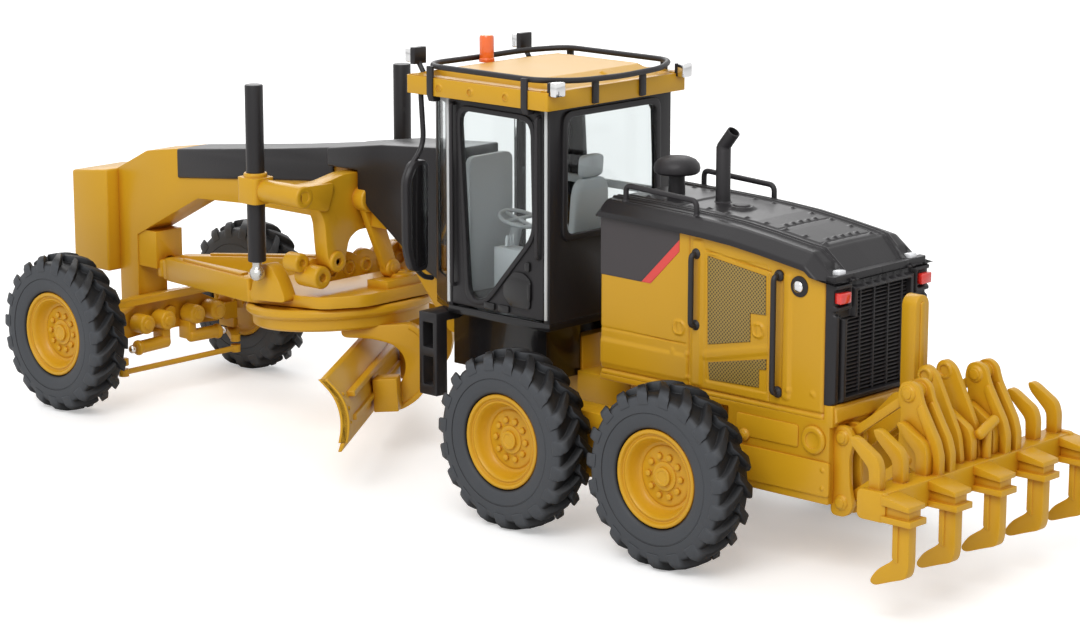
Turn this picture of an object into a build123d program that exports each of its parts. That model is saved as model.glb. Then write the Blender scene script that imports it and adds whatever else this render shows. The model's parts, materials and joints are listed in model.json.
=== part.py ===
from build123d import *
from math import atan2, cos, hypot, pi, radians, sin, tan
import os

# A 1:50 die-cast model of a motor grader, in millimetres.
# +X points to the front, +Y to the left side, +Z up. The origin is on the ground,
# under the middle of the model. Stations are X places ahead of the middle of the
# tandem pair, and at() turns them into X.

# Clearances
RUNNING = 0.05
GAP = 0.2

# Wheels
TYRE_R = 13.7
TYRE_W = 7.2
LUG_COUNT = 19
LUG_DEPTH = 1.3
LUG_LAG = 14.0
RIB_HALF = 0.7
RIM_R = 7.3
RIM_HALF = 2.9
RIM_LIP = 0.6
RIM_RING_R = 5.9
RIM_WELL_R = 5.0
RIM_DISH = 0.7
HUB_R = 2.2
HUB_RISE = 0.95
HUB_CAP_R = 1.4
HUB_CAP_RISE = 1.45
WHEEL_Y = 21.5
TANDEM_PITCH = 30.46
WHEELBASE = 122.46
TANDEM_X = -39.85
STUB_R = 1.6
STUB_DEPTH = 1.6
SPINDLE_R = 1.0
SPINDLE_REACH = 2.0

# Tandem cases
TANDEM_IN = 11.6
TANDEM_OUT = 16.4
TANDEM_RISE = 5.0
TANDEM_END = 4.3
TANDEM_NOSE = 2.4
HOUSING_R = 3.2
HOUSING_RISE = 2.0

# Rear frame
FRAME_REAR = -36.0
FRAME_FRONT = 4.0
FRAME_HALF = 11.0
RAIL_HALF = 8.0
BUMPER_FRONT = -17.5
BUMPER_LOW = 11.0
RAIL_LOW = 14.5
FRAME_TOP = 22.4
DECK_T = 1.0
SCREW = -27.0
SCREW_R = 1.25
SCREW_DEPTH = 5.0

# Hitch between the two frames
HITCH = 11.0
HITCH_PIN_R = 1.5
EAR_T = 2.0
EAR_HALF = 4.5
TONGUE_LOW = 15.8
TONGUE_TOP = 20.8
TONGUE_R = 4.4
TONGUE_REAR = 18.0

# Hood
HOOD_FRONT = 7.5
HOOD_REAR = -35.0
HOOD_BEND = -13.0
HOOD_HALF = 11.0
HOOD_WALL = 1.2
HOOD_SIDE_TOP_FRONT = 47.4
HOOD_SIDE_TOP_REAR = 44.1
HOOD_BASE = FRAME_TOP + DECK_T
LID_T = 2.6
LID_EDGE = 0.6
EAVE = 0.8
SILL_TOP = 25.6
GRILLE_HALF = 8.5
GRILLE_NECK = 6.2
GRILLE_LOW = 26.7
GRILLE_STEP = 38.0
GRILLE_TOP = 41.5
GRILLE_T = 0.6
SLAT_PITCH = 1.1
SLAT_H = 0.45
SLAT_T = 0.5
SURROUND_T = 1.6
LAMP_BOX = ((7.4, HOOD_HALF), (39.2, 42.8))
LAMP_CASE = 0.5
LENS = ((8.3, 10.7), (40.3, 41.9))
LENS_RISE = 0.4
HANDRAIL_Y = 9.0
HANDRAIL_FRONT = 4.2
HANDRAIL_REAR = -9.5
HANDRAIL_RISE = 2.2
HANDRAIL_R = 0.4
GRIP_OUT = 1.4
GRIP_R = 0.35
EXHAUST = -7.0
EXHAUST_R = 1.1
EXHAUST_TOP = 58.2
CLEANER = 2.0
CLEANER_R = 3.5
CLEANER_LOW = 53.0

# Front frame
BEAM_HALF = 3.3
BEAM_UNDER = 37.2
COVER_HALF = 3.7
CHEEK_HALF = 5.0
CHEEK_REAR = 43.7
BOLSTER_REAR = WHEELBASE + 2.04
BOLSTER_T = 4.9
BOLSTER_LOW = 12.5
NOSE_RUN = 8.1
COVER_END = 16.6
BLOCK_HALF = 6.0
BLOCK_REAR = BOLSTER_REAR + BOLSTER_T
BLOCK_T = 9.6
BLOCK_LOW = 21.0
BLOCK_TOP = 39.4

# Cab
CAB_REAR = 15.2
CAB_BEND = 36.5
CAB_FRONT = 43.5
CAB_HALF = 13.9
CAB_NOSE_HALF = 9.5
CAB_FLOOR = 30.0
FLOOR_T = 1.2
CAB_WALL = 1.0
CAB_TOP = 64.2
PANE_T = 0.5
DOOR_REAR = 16.3
DOOR_FRONT = 35.7
DOOR_TOP = 63.0
DOOR_GAP = 0.1
BOX_HALF = 11.3
BOX_LOW = 20.0
PEDESTAL_LOW = 26.0
ROOF_REAR = 14.0
ROOF_FRONT = 43.4
ROOF_HALF = 15.7
ROOF_RIM = 65.4
ROOF_TOP = 66.8
CROWN_HALF = 12.2
RAIL_Y = 14.6
RAIL_Z = 67.6
RAIL_R = 0.4
BEACON = 41.5
BEACON_R = 1.2
BEACON_TOP = 70.6
MIRROR = 41.7
LADDER_REAR = 36.8
LADDER_FRONT = 40.6
LADDER_OUT = 16.4
LADDER_LOW = 15.6

# Saddle, lift cylinders and link bar
SADDLE_AHEAD = 24.5
SADDLE = CAB_FRONT + SADDLE_AHEAD
SADDLE_T = 3.0
LIFT = 77.7
LIFT_Y = 16.8
LIFT_R = 1.5
LIFT_LOW = 31.6
LIFT_TOP = 60.8
YOKE_Z = 43.5
YOKE_HALF = 2.3
ROD_R = 0.8
ROD_LENGTH = 22.5
BALL_R = 1.3
BALL_Z = 29.6
LINK_BAR_HALF = 13.2
LINK_BAR_LOW = 28.0
LINK_BAR_TOP = 32.8
LINK_BAR_T = 1.6
LINK_HOLE_PITCH = 3.9

# Drawbar, circle and blade, laid out level and then pitched about the ball
BALL = WHEELBASE - 0.66
DRAW_Z = 22.4
DRAW_BALL_R = 2.5
BALL_PLAY = 0.15
DRAW_NECK_R = 1.3
PITCH = 4.5
CIRCLE = 76.0
CIRCLE_R = 15.8
DRUM_R = 14.8
DRUM_LOW = 16.2
RIM_LOW = 18.5
RIM_TOP = 20.0
PLATE_TOP = 22.2
PLATE_HALF = 13.2
LEG_RISE = 2.0
BLADE_ANGLE = 37.0
BLADE_LENGTH = 73.0
BLADE_SHIFT = 3.3
BLADE_LOW = 1.4
BLADE_TOP = 13.0
BLADE_BACK = 7.2
EDGE_HEIGHT = 1.4
ARM_S = 11.0
ARM_T = 2.4
TIP_T = -10.4
TIP_Z = 4.2
TIP_R = 0.8
CARRIER_W = 4.5

# Front axle
AXLE_HALF_X = 2.2
AXLE_PIN_Z = 14.0
AXLE_PIN_R = 1.2
LEAN_Y = 13.6
LEAN_Z = 12.0
LEAN_R = 0.7
LEAN_BOSS_R = 1.5
LEAN_BOSS_HALF = 1.5
POST_Y = 15.3
POST_T = 0.7
POST_HALF = 2.3
PLATE_HALF_X = 2.0
POST_LOW = 8.6
POST_TOP = 18.4
FLANGE_T = 1.2
FLANGE_R = 0.95
FLANGE_PITCH = 7.2
KING_Y = 16.8
KING_R = 0.5
KING_BARREL_R = 0.75
KNUCKLE_BOSS_R = 1.8
BAR_Z = 17.4
BAR_BACK = 3.0
BAR_EYE_R = 1.0
BAR_PIN_R = 0.5
STEER_ARM_LOW = 7.0
STEER_ARM_T = 1.2
TIE_BACK = 5.0
TIE_Y = 13.0
TIE_R = 0.5
TIE_EYE_R = 0.9
TIE_EYE_T = 1.3
TIE_DROP = 0.65

# Ripper
BRACKET = -37.5
BRACKET_LOW = 11.5
BRACKET_HIGH = 21.0
LINK_RUN = 11.2
LINK_RISE = 8.3
LINK_Y = 8.0
LINK_T = 1.3
LINK_END_R = 1.3
LINK_PIN_R = 0.7
CHEEK_T = 0.9
BEAM_FRONT = -50.5
BEAM_REAR = -54.5
BEAM_LOW = 14.8
BEAM_TOP = 18.6
BEAM_END = 22.9
SHANK_PITCH = 10.66
SHANK_COUNT = 5
SHANK_T = 1.5
HOLDER_HALF = 1.9
TINE_PITCH = 5.33
TINE_COUNT = 9
TINE_T = 1.4
RIPPER_CYL = -42.4
RIPPER_CYL_R = 1.5
RIPPER_CYL_LOW = 23.0
RIPPER_CYL_TOP = 41.0
TRUNNION_Z = 25.4

os.makedirs("parts", exist_ok=True)


def at(station):
    """X of a station ahead of the middle of the tandem pair."""
    return TANDEM_X + station


def placed(outline):
    """An outline of (station, z) or (station, y) points, as X places."""
    return [(at(station), other) for station, other in outline]


def block(x, y, z):
    """A box between two values each of X, Y and Z."""
    centre = [(ends[0] + ends[1]) / 2 for ends in (x, y, z)]
    size = [abs(ends[1] - ends[0]) for ends in (x, y, z)]
    return Pos(*centre) * Box(*size)


def bar(start, end, radius):
    """A round bar from one point to another."""
    start, end = Vector(*start), Vector(*end)
    run = end - start
    return Part() + Solid.make_cylinder(radius, run.length, Plane(origin=start, z_dir=run))


def side_plate(outline, y):
    """A plate with an outline of (x, z) points, between two values of Y."""
    wire = Wire.make_polygon([Vector(x, y[0], z) for x, z in outline], close=True)
    return Part() + Solid.extrude(Face(wire), Vector(0, y[1] - y[0], 0))


def cross_plate(outline, x):
    """A plate with an outline of (y, z) points, between two values of X."""
    wire = Wire.make_polygon([Vector(x[0], y, z) for y, z in outline], close=True)
    return Part() + Solid.extrude(Face(wire), Vector(x[1] - x[0], 0, 0))


def flat_plate(outline, z):
    """A plate with an outline of (x, y) points, between two values of Z."""
    wire = Wire.make_polygon([Vector(x, y, z[0]) for x, y in outline], close=True)
    return Part() + Solid.extrude(Face(wire), Vector(0, 0, z[1] - z[0]))


def wheel_solid(profile, centre, side):
    """A round solid about the wheel's axis from (radius, outward place) points."""
    points = [Vector(centre[0] + r, centre[1] + side * out, centre[2]) for r, out in profile]
    face = Face(Wire.make_polygon(points, close=True))
    return Part() + Solid.revolve(face, 360, Axis(centre, (0, 1, 0)))


def tube(points, radius, bend):
    """A round tube along straight runs joined by arcs."""
    path = FilletPolyline(*points, radius=bend)
    section = Plane(origin=path @ 0, z_dir=path % 0) * Circle(radius)
    return sweep(section, path)


def mirrored(shape):
    """The same shape on the other side of the machine."""
    return mirror(shape, about=Plane.XZ)


def both(shape):
    """A shape and its mirror image."""
    return Part() + [shape, mirrored(shape)]


def save(name, *shapes):
    """Write one named piece."""
    solids = []
    for shape in shapes:
        solids += shape.solids()
    piece = solids[0] if len(solids) == 1 else Compound(children=solids)
    export_step(piece, f"parts/{name}.step")


# Wheels: name, station, side, radius and inner end of the rim's stub axle or of its bore for a spindle
REAR_STUB = (STUB_R, TANDEM_OUT - STUB_DEPTH)
SPINDLE_END = WHEEL_Y - RIM_HALF + SPINDLE_REACH
FRONT_BORE = (SPINDLE_R + RUNNING, SPINDLE_END + RUNNING)
WHEELS = [
    ("front_left", WHEELBASE, 1, FRONT_BORE),
    ("front_right", WHEELBASE, -1, FRONT_BORE),
    ("mid_left", TANDEM_PITCH / 2, 1, REAR_STUB),
    ("mid_right", TANDEM_PITCH / 2, -1, REAR_STUB),
    ("rear_left", -TANDEM_PITCH / 2, 1, REAR_STUB),
    ("rear_right", -TANDEM_PITCH / 2, -1, REAR_STUB),
]


def lug_tyre(centre):
    """Tyre of flat facets with a rib round its middle: on each half every other sector is a lug that lags outwards."""
    half = TYRE_W / 2
    floor = TYRE_R - LUG_DEPTH
    seat = ((RIM_R + RUNNING) / cos(pi / (2 * LUG_COUNT)), RIM_HALF)
    bulge = (TYRE_R * 0.74, half)
    lug = [seat, bulge, (TYRE_R - 0.8, half * 0.97), (TYRE_R, half * 0.64), (TYRE_R, 0)]
    gap = [seat, bulge, (floor - 0.4, half * 0.93), (floor, RIB_HALF), (TYRE_R, 0)]

    def point(sector, hand, place):
        """A place of the section, at the start of a sector."""
        angle = sector * pi / LUG_COUNT - radians(LUG_LAG) * place[1] / half
        return Vector(centre[0] + place[0] * sin(angle), centre[1] + hand * place[1], centre[2] + place[0] * cos(angle))

    corners = []
    for sector in range(2 * LUG_COUNT):
        after = (sector + 1) % (2 * LUG_COUNT)
        for hand in (1, -1):
            rows = lug if (sector % 2 == 0) == (hand == 1) else gap
            for near, far in zip(rows[:-1], rows[1:]):
                a, b = point(sector, hand, near), point(after, hand, near)
                c, d = point(after, hand, far), point(sector, hand, far)
                corners += [(a, b, c), (a, c, d)]
            low, shoulder, crown, middle = (point(sector, hand, place) for place in lug[1:])
            foot, root = (point(sector, hand, place) for place in gap[2:4])
            corners += [(low, shoulder, foot), (shoulder, crown, foot), (crown, root, foot), (crown, middle, root)]
        corners.append([point(k, hand, seat) for k, hand in ((sector, 1), (after, 1), (after, -1), (sector, -1))])
    return Part() + Solid(Shell([Face(Wire.make_polygon(points, close=True)) for points in corners]))


def rim(centre, side, stub):
    """Dished rim with a ring, a hub boss and a cap, on a stub axle or bored for a spindle."""
    stub_r, stub_end = stub
    inward = stub_end - WHEEL_Y
    profile = [
        (0, inward), (stub_r, inward), (stub_r, -RIM_HALF), (RIM_R, -RIM_HALF), (RIM_R, RIM_HALF),
        (RIM_R - RIM_LIP, RIM_HALF), (RIM_R - RIM_LIP - 0.2, RIM_HALF - 0.4), (RIM_RING_R, RIM_HALF - 0.4),
        (RIM_WELL_R, RIM_DISH), (HUB_R, RIM_DISH), (HUB_R, HUB_RISE), (HUB_CAP_R, HUB_RISE),
        (HUB_CAP_R, HUB_CAP_RISE), (0, HUB_CAP_RISE),
    ]
    return wheel_solid(profile, centre, side)


def make_wheels():
    """Six tyres on six rims."""
    for name, station, side, stub in WHEELS:
        centre = (at(station), side * WHEEL_Y, TYRE_R)
        save(f"tyre_{name}", lug_tyre(centre))
        save(f"rim_{name}", rim(centre, side, stub))


def make_tandems():
    """The two cases that carry the rear wheels, each on its axle housing."""
    half = TANDEM_PITCH / 2
    end = half + TANDEM_END
    top = [(-end, TANDEM_NOSE), (-half, TANDEM_RISE), (half, TANDEM_RISE), (end, TANDEM_NOSE)]
    outline = [(at(x), TYRE_R + rise) for x, rise in top] + [(at(x), TYRE_R - rise) for x, rise in reversed(top)]
    case = side_plate(outline, (TANDEM_IN, TANDEM_OUT))
    for place in (-half, half):
        start = (at(place), TANDEM_OUT - STUB_DEPTH - GAP, TYRE_R)
        case -= bar(start, (at(place), TANDEM_OUT, TYRE_R), STUB_R + RUNNING)
    z = TYRE_R + HOUSING_RISE
    case += bar((at(0), RAIL_HALF, z), (at(0), TANDEM_IN, z), HOUSING_R)
    save("tandems", both(case))


def make_rear_frame():
    """Bumper casting, rails and deck, with the ears of the hitch and its pin."""
    frame = block((at(FRAME_REAR), at(BUMPER_FRONT)), (-FRAME_HALF, FRAME_HALF), (BUMPER_LOW, FRAME_TOP))
    frame += block((at(BUMPER_FRONT), at(FRAME_FRONT)), (-RAIL_HALF, RAIL_HALF), (RAIL_LOW, FRAME_TOP))
    frame += block((at(FRAME_REAR), at(HOOD_FRONT)), (-FRAME_HALF, FRAME_HALF), (FRAME_TOP, HOOD_BASE))
    frame += block((at(HOOD_REAR) - SURROUND_T, at(HOOD_REAR)), (-FRAME_HALF, FRAME_HALF), (FRAME_TOP, SILL_TOP))
    low, high = TONGUE_LOW - GAP - EAR_T, TONGUE_TOP + GAP
    for z in (low, high):
        frame += block((at(FRAME_FRONT), at(HITCH)), (-EAR_HALF, EAR_HALF), (z, z + EAR_T))
        frame += bar((at(HITCH), 0, z), (at(HITCH), 0, z + EAR_T), EAR_HALF)
    frame += block((at(FRAME_FRONT), at(FRAME_FRONT) + 1.0), (-EAR_HALF, EAR_HALF), (low, FRAME_TOP))
    pin = bar((at(HITCH), 0, low), (at(HITCH), 0, high + EAR_T), HITCH_PIN_R)
    screw = bar((at(SCREW), 0, BUMPER_LOW), (at(SCREW), 0, BUMPER_LOW + SCREW_DEPTH), SCREW_R)
    save("rear_frame", frame - pin - screw)
    save("hitch_pin", pin)


def hood_line(station):
    """Height of the line between the yellow sides and the black lid."""
    share = max(0.0, (HOOD_BEND - station) / (HOOD_BEND - HOOD_REAR))
    return HOOD_SIDE_TOP_FRONT + share * (HOOD_SIDE_TOP_REAR - HOOD_SIDE_TOP_FRONT)


def make_hood():
    """Body, lid, rear surround and grille of the engine hood."""
    inner = HOOD_HALF - HOOD_WALL
    line = [(station, hood_line(station)) for station in (HOOD_FRONT, HOOD_BEND, HOOD_REAR)]
    side = side_plate(placed([(HOOD_REAR, HOOD_BASE), (HOOD_FRONT, HOOD_BASE)] + line), (inner, HOOD_HALF))
    front = (at(HOOD_FRONT) - HOOD_WALL, at(HOOD_FRONT))
    wall = block(front, (-inner, inner), (HOOD_BASE, hood_line(HOOD_FRONT)))
    save("hood_body", both(side) + wall)
    back = HOOD_REAR - SURROUND_T
    low = hood_line(HOOD_REAR)
    outline = line + [
        (back, low), (back, low + LID_EDGE), (HOOD_REAR + 3, hood_line(HOOD_REAR + 3) + LID_T - 0.7),
        (HOOD_BEND, hood_line(HOOD_BEND) + LID_T), (HOOD_FRONT, hood_line(HOOD_FRONT) + LID_T),
    ]
    lid = side_plate(placed(outline), (-HOOD_HALF - EAVE, HOOD_HALF + EAVE))
    edge, high = HOOD_HALF + EAVE, hood_line(HOOD_FRONT) + LID_T
    slope = [(edge, low - 1), (edge + 1, low - 1), (edge + 1, high + 10), (edge - 2.4, high + 10), (edge, high - 2.1)]
    save("hood_lid", lid - both(cross_plate(slope, (at(back) - 1, at(HOOD_FRONT) + 1))))
    surround = block((at(back), at(HOOD_REAR)), (-HOOD_HALF, HOOD_HALF), (SILL_TOP, low))
    surround += both(block((at(back) - LAMP_CASE, at(back)), *LAMP_BOX))
    lamp = block((at(back) - LAMP_CASE - LENS_RISE, at(back)), *LENS)
    half = [
        (0, GRILLE_LOW), (GRILLE_HALF, GRILLE_LOW), (GRILLE_HALF, GRILLE_STEP), (GRILLE_NECK, GRILLE_STEP),
        (GRILLE_NECK, GRILLE_TOP), (0, GRILLE_TOP),
    ]
    save("hood_surround", surround - both(cross_plate(half, (at(back) - 1, at(HOOD_REAR) + 1))) - both(lamp))
    grille = both(cross_plate(half, (at(HOOD_REAR) - GRILLE_T, at(HOOD_REAR))))
    face = at(HOOD_REAR) - GRILLE_T
    for count in range(int((GRILLE_TOP - GRILLE_LOW - SLAT_H) / SLAT_PITCH) + 1):
        z = GRILLE_LOW + count * SLAT_PITCH
        wide = GRILLE_NECK if z + SLAT_H > GRILLE_STEP else GRILLE_HALF
        grille += block((face - SLAT_T, face), (-wide, wide), (z, z + SLAT_H))
    save("grille", grille)
    save("tail_lamps", lamp, mirrored(lamp))


# Side grips: station, lower and upper height
GRIPS = [(-11.4, 33.9, 44.0), (-26.7, 26.3, 42.9)]


def make_hood_fittings():
    """Exhaust stack, air pre-cleaner, handrails and side grips."""
    top = hood_line(HOOD_FRONT) + LID_T
    stack = bar((at(EXHAUST), 0, top), (at(EXHAUST), 0, EXHAUST_TOP), EXHAUST_R)
    stack += bar((at(EXHAUST), 0, EXHAUST_TOP - 0.4), (at(EXHAUST) - 2.3, 0, EXHAUST_TOP + 3), EXHAUST_R - 0.2)
    cleaner = bar((at(CLEANER), 0, top), (at(CLEANER), 0, CLEANER_LOW), 1.2)
    cleaner += bar((at(CLEANER), 0, CLEANER_LOW), (at(CLEANER), 0, CLEANER_LOW + 1.4), CLEANER_R)
    crown = Plane(origin=(at(CLEANER), 0, CLEANER_LOW + 1.4))
    cleaner += Part() + Solid.make_cone(CLEANER_R, CLEANER_R - 1.1, 1.2, crown)
    save("hood_stacks", stack, cleaner)
    front, rear, high = at(HANDRAIL_FRONT), at(HANDRAIL_REAR), top + HANDRAIL_RISE
    route = [(front, HANDRAIL_Y, top), (front, HANDRAIL_Y, high), (rear, HANDRAIL_Y, high), (rear, HANDRAIL_Y, top)]
    rails = [tube(route, HANDRAIL_R, 0.8)]
    out = HOOD_HALF + GRIP_OUT
    for station, low, high in GRIPS:
        x = at(station)
        rails.append(tube([(x, HOOD_HALF, low), (x, out, low), (x, out, high), (x, HOOD_HALF, high)], GRIP_R, 0.6))
    save("hood_rails", *rails, *[mirrored(rail) for rail in rails])


def make_front_frame():
    """Beam, goose neck and bolster with the hitch tongue, the push block and the cover."""
    seat, cover_end = SADDLE + 5.3, BLOCK_REAR - COVER_END
    outline = [
        (BLOCK_REAR, BOLSTER_LOW), (BLOCK_REAR, BLOCK_TOP), (BLOCK_REAR - NOSE_RUN, 43.4), (cover_end, 44.7),
        (cover_end, 39.6), (95.0, 41.6), (seat, 43.7), (seat, 46.4), (SADDLE - 8.0, 46.4), (56.0, 42.0),
        (44.0, PEDESTAL_LOW), (TONGUE_REAR, PEDESTAL_LOW), (TONGUE_REAR, TONGUE_LOW), (36.0, 17.0), (38.0, 21.0),
        (47.0, 22.5), (60.0, BEAM_UNDER), (95.0, BEAM_UNDER), (BOLSTER_REAR - 16.5, 36.5), (BOLSTER_REAR, 28.0),
        (BOLSTER_REAR, BOLSTER_LOW),
    ]
    beam = side_plate(placed(outline), (-BEAM_HALF, BEAM_HALF))
    tongue = block((at(HITCH), at(TONGUE_REAR)), (-TONGUE_R, TONGUE_R), (TONGUE_LOW, TONGUE_TOP))
    tongue += bar((at(HITCH), 0, TONGUE_LOW), (at(HITCH), 0, TONGUE_TOP), TONGUE_R)
    tongue -= bar((at(HITCH), 0, TONGUE_LOW - 1), (at(HITCH), 0, TONGUE_TOP + 1), HITCH_PIN_R + RUNNING)
    socket = block((at(BALL) - 2.0, at(BOLSTER_REAR)), (-3.0, 3.0), (DRAW_Z, 29.0))
    socket -= Pos(at(BALL), 0, DRAW_Z) * Sphere(DRAW_BALL_R + BALL_PLAY)
    neck_end = (at(BALL) - 6, 0, DRAW_Z + 6 * tan(radians(PITCH)))
    socket -= bar((at(BALL), 0, DRAW_Z), neck_end, DRAW_NECK_R + 0.5)
    pin_start = (at(WHEELBASE) - AXLE_HALF_X - 0.5, 0, AXLE_PIN_Z)
    axle_pin = bar(pin_start, (at(BOLSTER_REAR), 0, AXLE_PIN_Z), AXLE_PIN_R)
    save("front_frame", beam + tongue + socket + axle_pin)
    end = BLOCK_REAR + BLOCK_T
    nose = [(BLOCK_REAR, BLOCK_LOW), (end, BLOCK_LOW), (end, BLOCK_TOP - 1.1), (BLOCK_REAR, BLOCK_TOP)]
    save("push_block", side_plate(placed(nose), (-BLOCK_HALF, BLOCK_HALF)))
    hood = [(cover_end, 39.6), (cover_end, 44.7), (86.0, 47.8), (seat, 49.5), (seat, 43.7), (95.0, 41.6)]
    cover = side_plate(placed(hood), (-COVER_HALF, COVER_HALF))
    slot = SADDLE - SADDLE_T / 2 - 0.3
    cheek = [
        (seat, 49.5), (SADDLE - 7.4, 51.4), (CHEEK_REAR, 52.6), (CHEEK_REAR, CAB_FLOOR), (46.0, CAB_FLOOR),
        (53.1, 33.2), (slot - 5.7, 38.3), (slot - 2.8, 40.2), (slot, 43.2), (slot, 46.5), (seat, 46.5),
    ]
    cover += side_plate(placed(cheek), (-CHEEK_HALF, CHEEK_HALF))
    save("frame_cover", cover - beam)


# Cab windows: stations and heights of the door window, and Y and Z ends of the others
DOOR_WINDOW = [(34.5, 60.9), (19.0, 61.3), (18.2, 42.8), (28.2, 31.8), (32.0, 31.9)]
REAR_WINDOW = ((-10.4, 10.4), (43.0, 61.5))
FRONT_WINDOW = ((-8.3, 8.3), (34.0, 61.5))
CORNER_STATIONS = (37.8, 42.4)
CORNER_WINDOW = ((8.9, 15.0), (34.0, 61.5))


def cab_plan(inset):
    """Outline of the cab seen from above, drawn in by an inset."""
    turn = atan2(CAB_HALF - CAB_NOSE_HALF, CAB_FRONT - CAB_BEND)
    side_shift = inset * tan(turn / 2)
    nose_shift = inset * tan((radians(90) - turn) / 2)
    half = [
        (at(CAB_REAR) + inset, CAB_HALF - inset), (at(CAB_BEND) - side_shift, CAB_HALF - inset),
        (at(CAB_FRONT) - inset, CAB_NOSE_HALF - nose_shift),
    ]
    return half + [(x, -y) for x, y in reversed(half)]


def cab_ring(outside, inside):
    """The cab's walls between two insets."""
    height = (CAB_FLOOR, CAB_TOP)
    return flat_plate(cab_plan(outside), height) - flat_plate(cab_plan(inside), height)


def make_cab():
    """Frame, doors and panes of the cab."""
    rear = block((at(CAB_REAR) - 1, at(CAB_REAR) + CAB_WALL + 1), *REAR_WINDOW)
    front = block((at(CAB_FRONT) - CAB_WALL - 1, at(CAB_FRONT) + 1), *FRONT_WINDOW)
    corner = block([at(station) for station in CORNER_STATIONS], *CORNER_WINDOW)
    windows = [rear, front, corner, mirrored(corner)]
    wall = (CAB_HALF - CAB_WALL, CAB_HALF)
    deep = (CAB_HALF - CAB_WALL - 0.5, CAB_HALF + 1)
    frame = cab_ring(0, CAB_WALL) - both(block((at(DOOR_REAR), at(DOOR_FRONT)), deep, (CAB_FLOOR, DOOR_TOP)))
    for window in windows:
        frame -= window
    save("cab_frame", frame)
    length = (at(DOOR_REAR) + DOOR_GAP, at(DOOR_FRONT) - DOOR_GAP)
    door = block(length, wall, (CAB_FLOOR + DOOR_GAP, DOOR_TOP - DOOR_GAP)) - side_plate(placed(DOOR_WINDOW), deep)
    save("cab_doors", door, mirrored(door))
    inset = (CAB_WALL - PANE_T) / 2
    pane = side_plate(placed(DOOR_WINDOW), (CAB_HALF - inset - PANE_T, CAB_HALF - inset))
    ring = cab_ring(inset, inset + PANE_T)
    save("cab_glass", pane, mirrored(pane), *[ring & window for window in windows])


def make_cab_inside():
    """Floor with its side boxes, seat, consoles and steering column."""
    under = CAB_FLOOR - FLOOR_T
    floor = flat_plate(cab_plan(0), (under, CAB_FLOOR))
    floor += block((at(20), at(40)), (-BEAM_HALF, BEAM_HALF), (PEDESTAL_LOW, under))
    side_box = block((at(TONGUE_REAR) + GAP, at(38)), (BEAM_HALF + GAP, BOX_HALF), (BOX_LOW, under))
    save("cab_base", floor + both(side_box))
    seat = block((at(20), at(28)), (-3.6, 3.6), (CAB_FLOOR, 36.5))
    seat += block((at(18.6), at(21)), (-3.6, 3.6), (33.0, 50.0))
    seat += block((at(18.8), at(20.6)), (-2.2, 2.2), (50.0, 53.5))
    save("seat", seat)
    console = block((at(22), at(32)), (5.0, 8.0), (CAB_FLOOR, 40.0))
    column = bar((at(38), 0, CAB_FLOOR + 0.3), (at(34.5), 0, 42.0), 1.0)
    column += bar((at(34.5), 0, 41.6), (at(34.2), 0, 42.6), 3.4)
    save("cab_controls", console, mirrored(console), column)


def cab_roof():
    """Roof slab with its crowned middle."""
    roof = block((at(ROOF_REAR), at(ROOF_FRONT)), (-ROOF_HALF, ROOF_HALF), (CAB_TOP, ROOF_RIM))
    crown = [(16.5, ROOF_RIM), (ROOF_FRONT, ROOF_RIM), (36.5, ROOF_TOP), (20.0, ROOF_TOP)]
    return roof + side_plate(placed(crown), (-CROWN_HALF, CROWN_HALF))


def make_cab_fittings():
    """Roof with its rail, lamps and beacon, and the mirrors and ladders."""
    roof = cab_roof()
    save("cab_roof", roof)
    front, rear, y = at(38.8), at(14.9), RAIL_Y
    route = [
        (front, y, ROOF_RIM), (front, y, RAIL_Z), (rear, y, RAIL_Z), (rear, -y, RAIL_Z),
        (front, -y, RAIL_Z), (front, -y, ROOF_RIM),
    ]
    rail = tube(route, RAIL_R, 1.0)
    for x, side in ((at(19), y), (at(19), -y), (rear, y / 2), (rear, -y / 2)):
        rail += bar((x, side, ROOF_RIM), (x, side, RAIL_Z + 0.1), RAIL_R - 0.1)
    save("roof_rail", rail)
    head = block((at(45.6), at(47.4)), (10.9, 13.1), (67.0, 69.2))
    head += bar((at(ROOF_FRONT) + 0.45, 12.0, CAB_TOP + 0.2), (at(46.0), 12.0, 68.0), RAIL_R)
    tail = block((at(ROOF_REAR) - 1.8, at(ROOF_REAR)), (13.4, 15.6), (64.6, 66.8))
    beacon = bar((at(BEACON), 0, ROOF_RIM), (at(BEACON), 0, BEACON_TOP), BEACON_R) - roof
    save("roof_lamps", head, mirrored(head), tail, mirrored(tail), beacon)
    mirror_arm = bar((at(MIRROR), 15.2, 52.0), (at(MIRROR), 14.9, CAB_TOP), 0.35)
    mirror_arm += bar((at(MIRROR), 15.0, 36.5), (at(MIRROR) - 1.5, 12.0, 31.0), 0.35)
    case = block((at(MIRROR) - 0.7, at(MIRROR) + 0.7), (14.2, 19.6), (35.5, 53.0))
    case += mirror_arm - flat_plate(cab_plan(0), (CAB_FLOOR, CAB_TOP))
    save("mirrors", case, mirrored(case))
    length, under = (at(LADDER_REAR), at(LADDER_FRONT)), CAB_FLOOR - FLOOR_T
    ladder = block(length, (LADDER_OUT - 2.4, LADDER_OUT), (LADDER_LOW, under))
    for low, high in ((17.2, 21.8), (23.2, 27.2)):
        ladder -= block((length[0] + 0.8, length[1] - 0.8), (LADDER_OUT - 3, LADDER_OUT + 1), (low, high))
    ladder += block(length, (BOX_HALF, LADDER_OUT - 2.4), (under - 1.4, under))
    save("ladders", ladder, mirrored(ladder))


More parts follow.
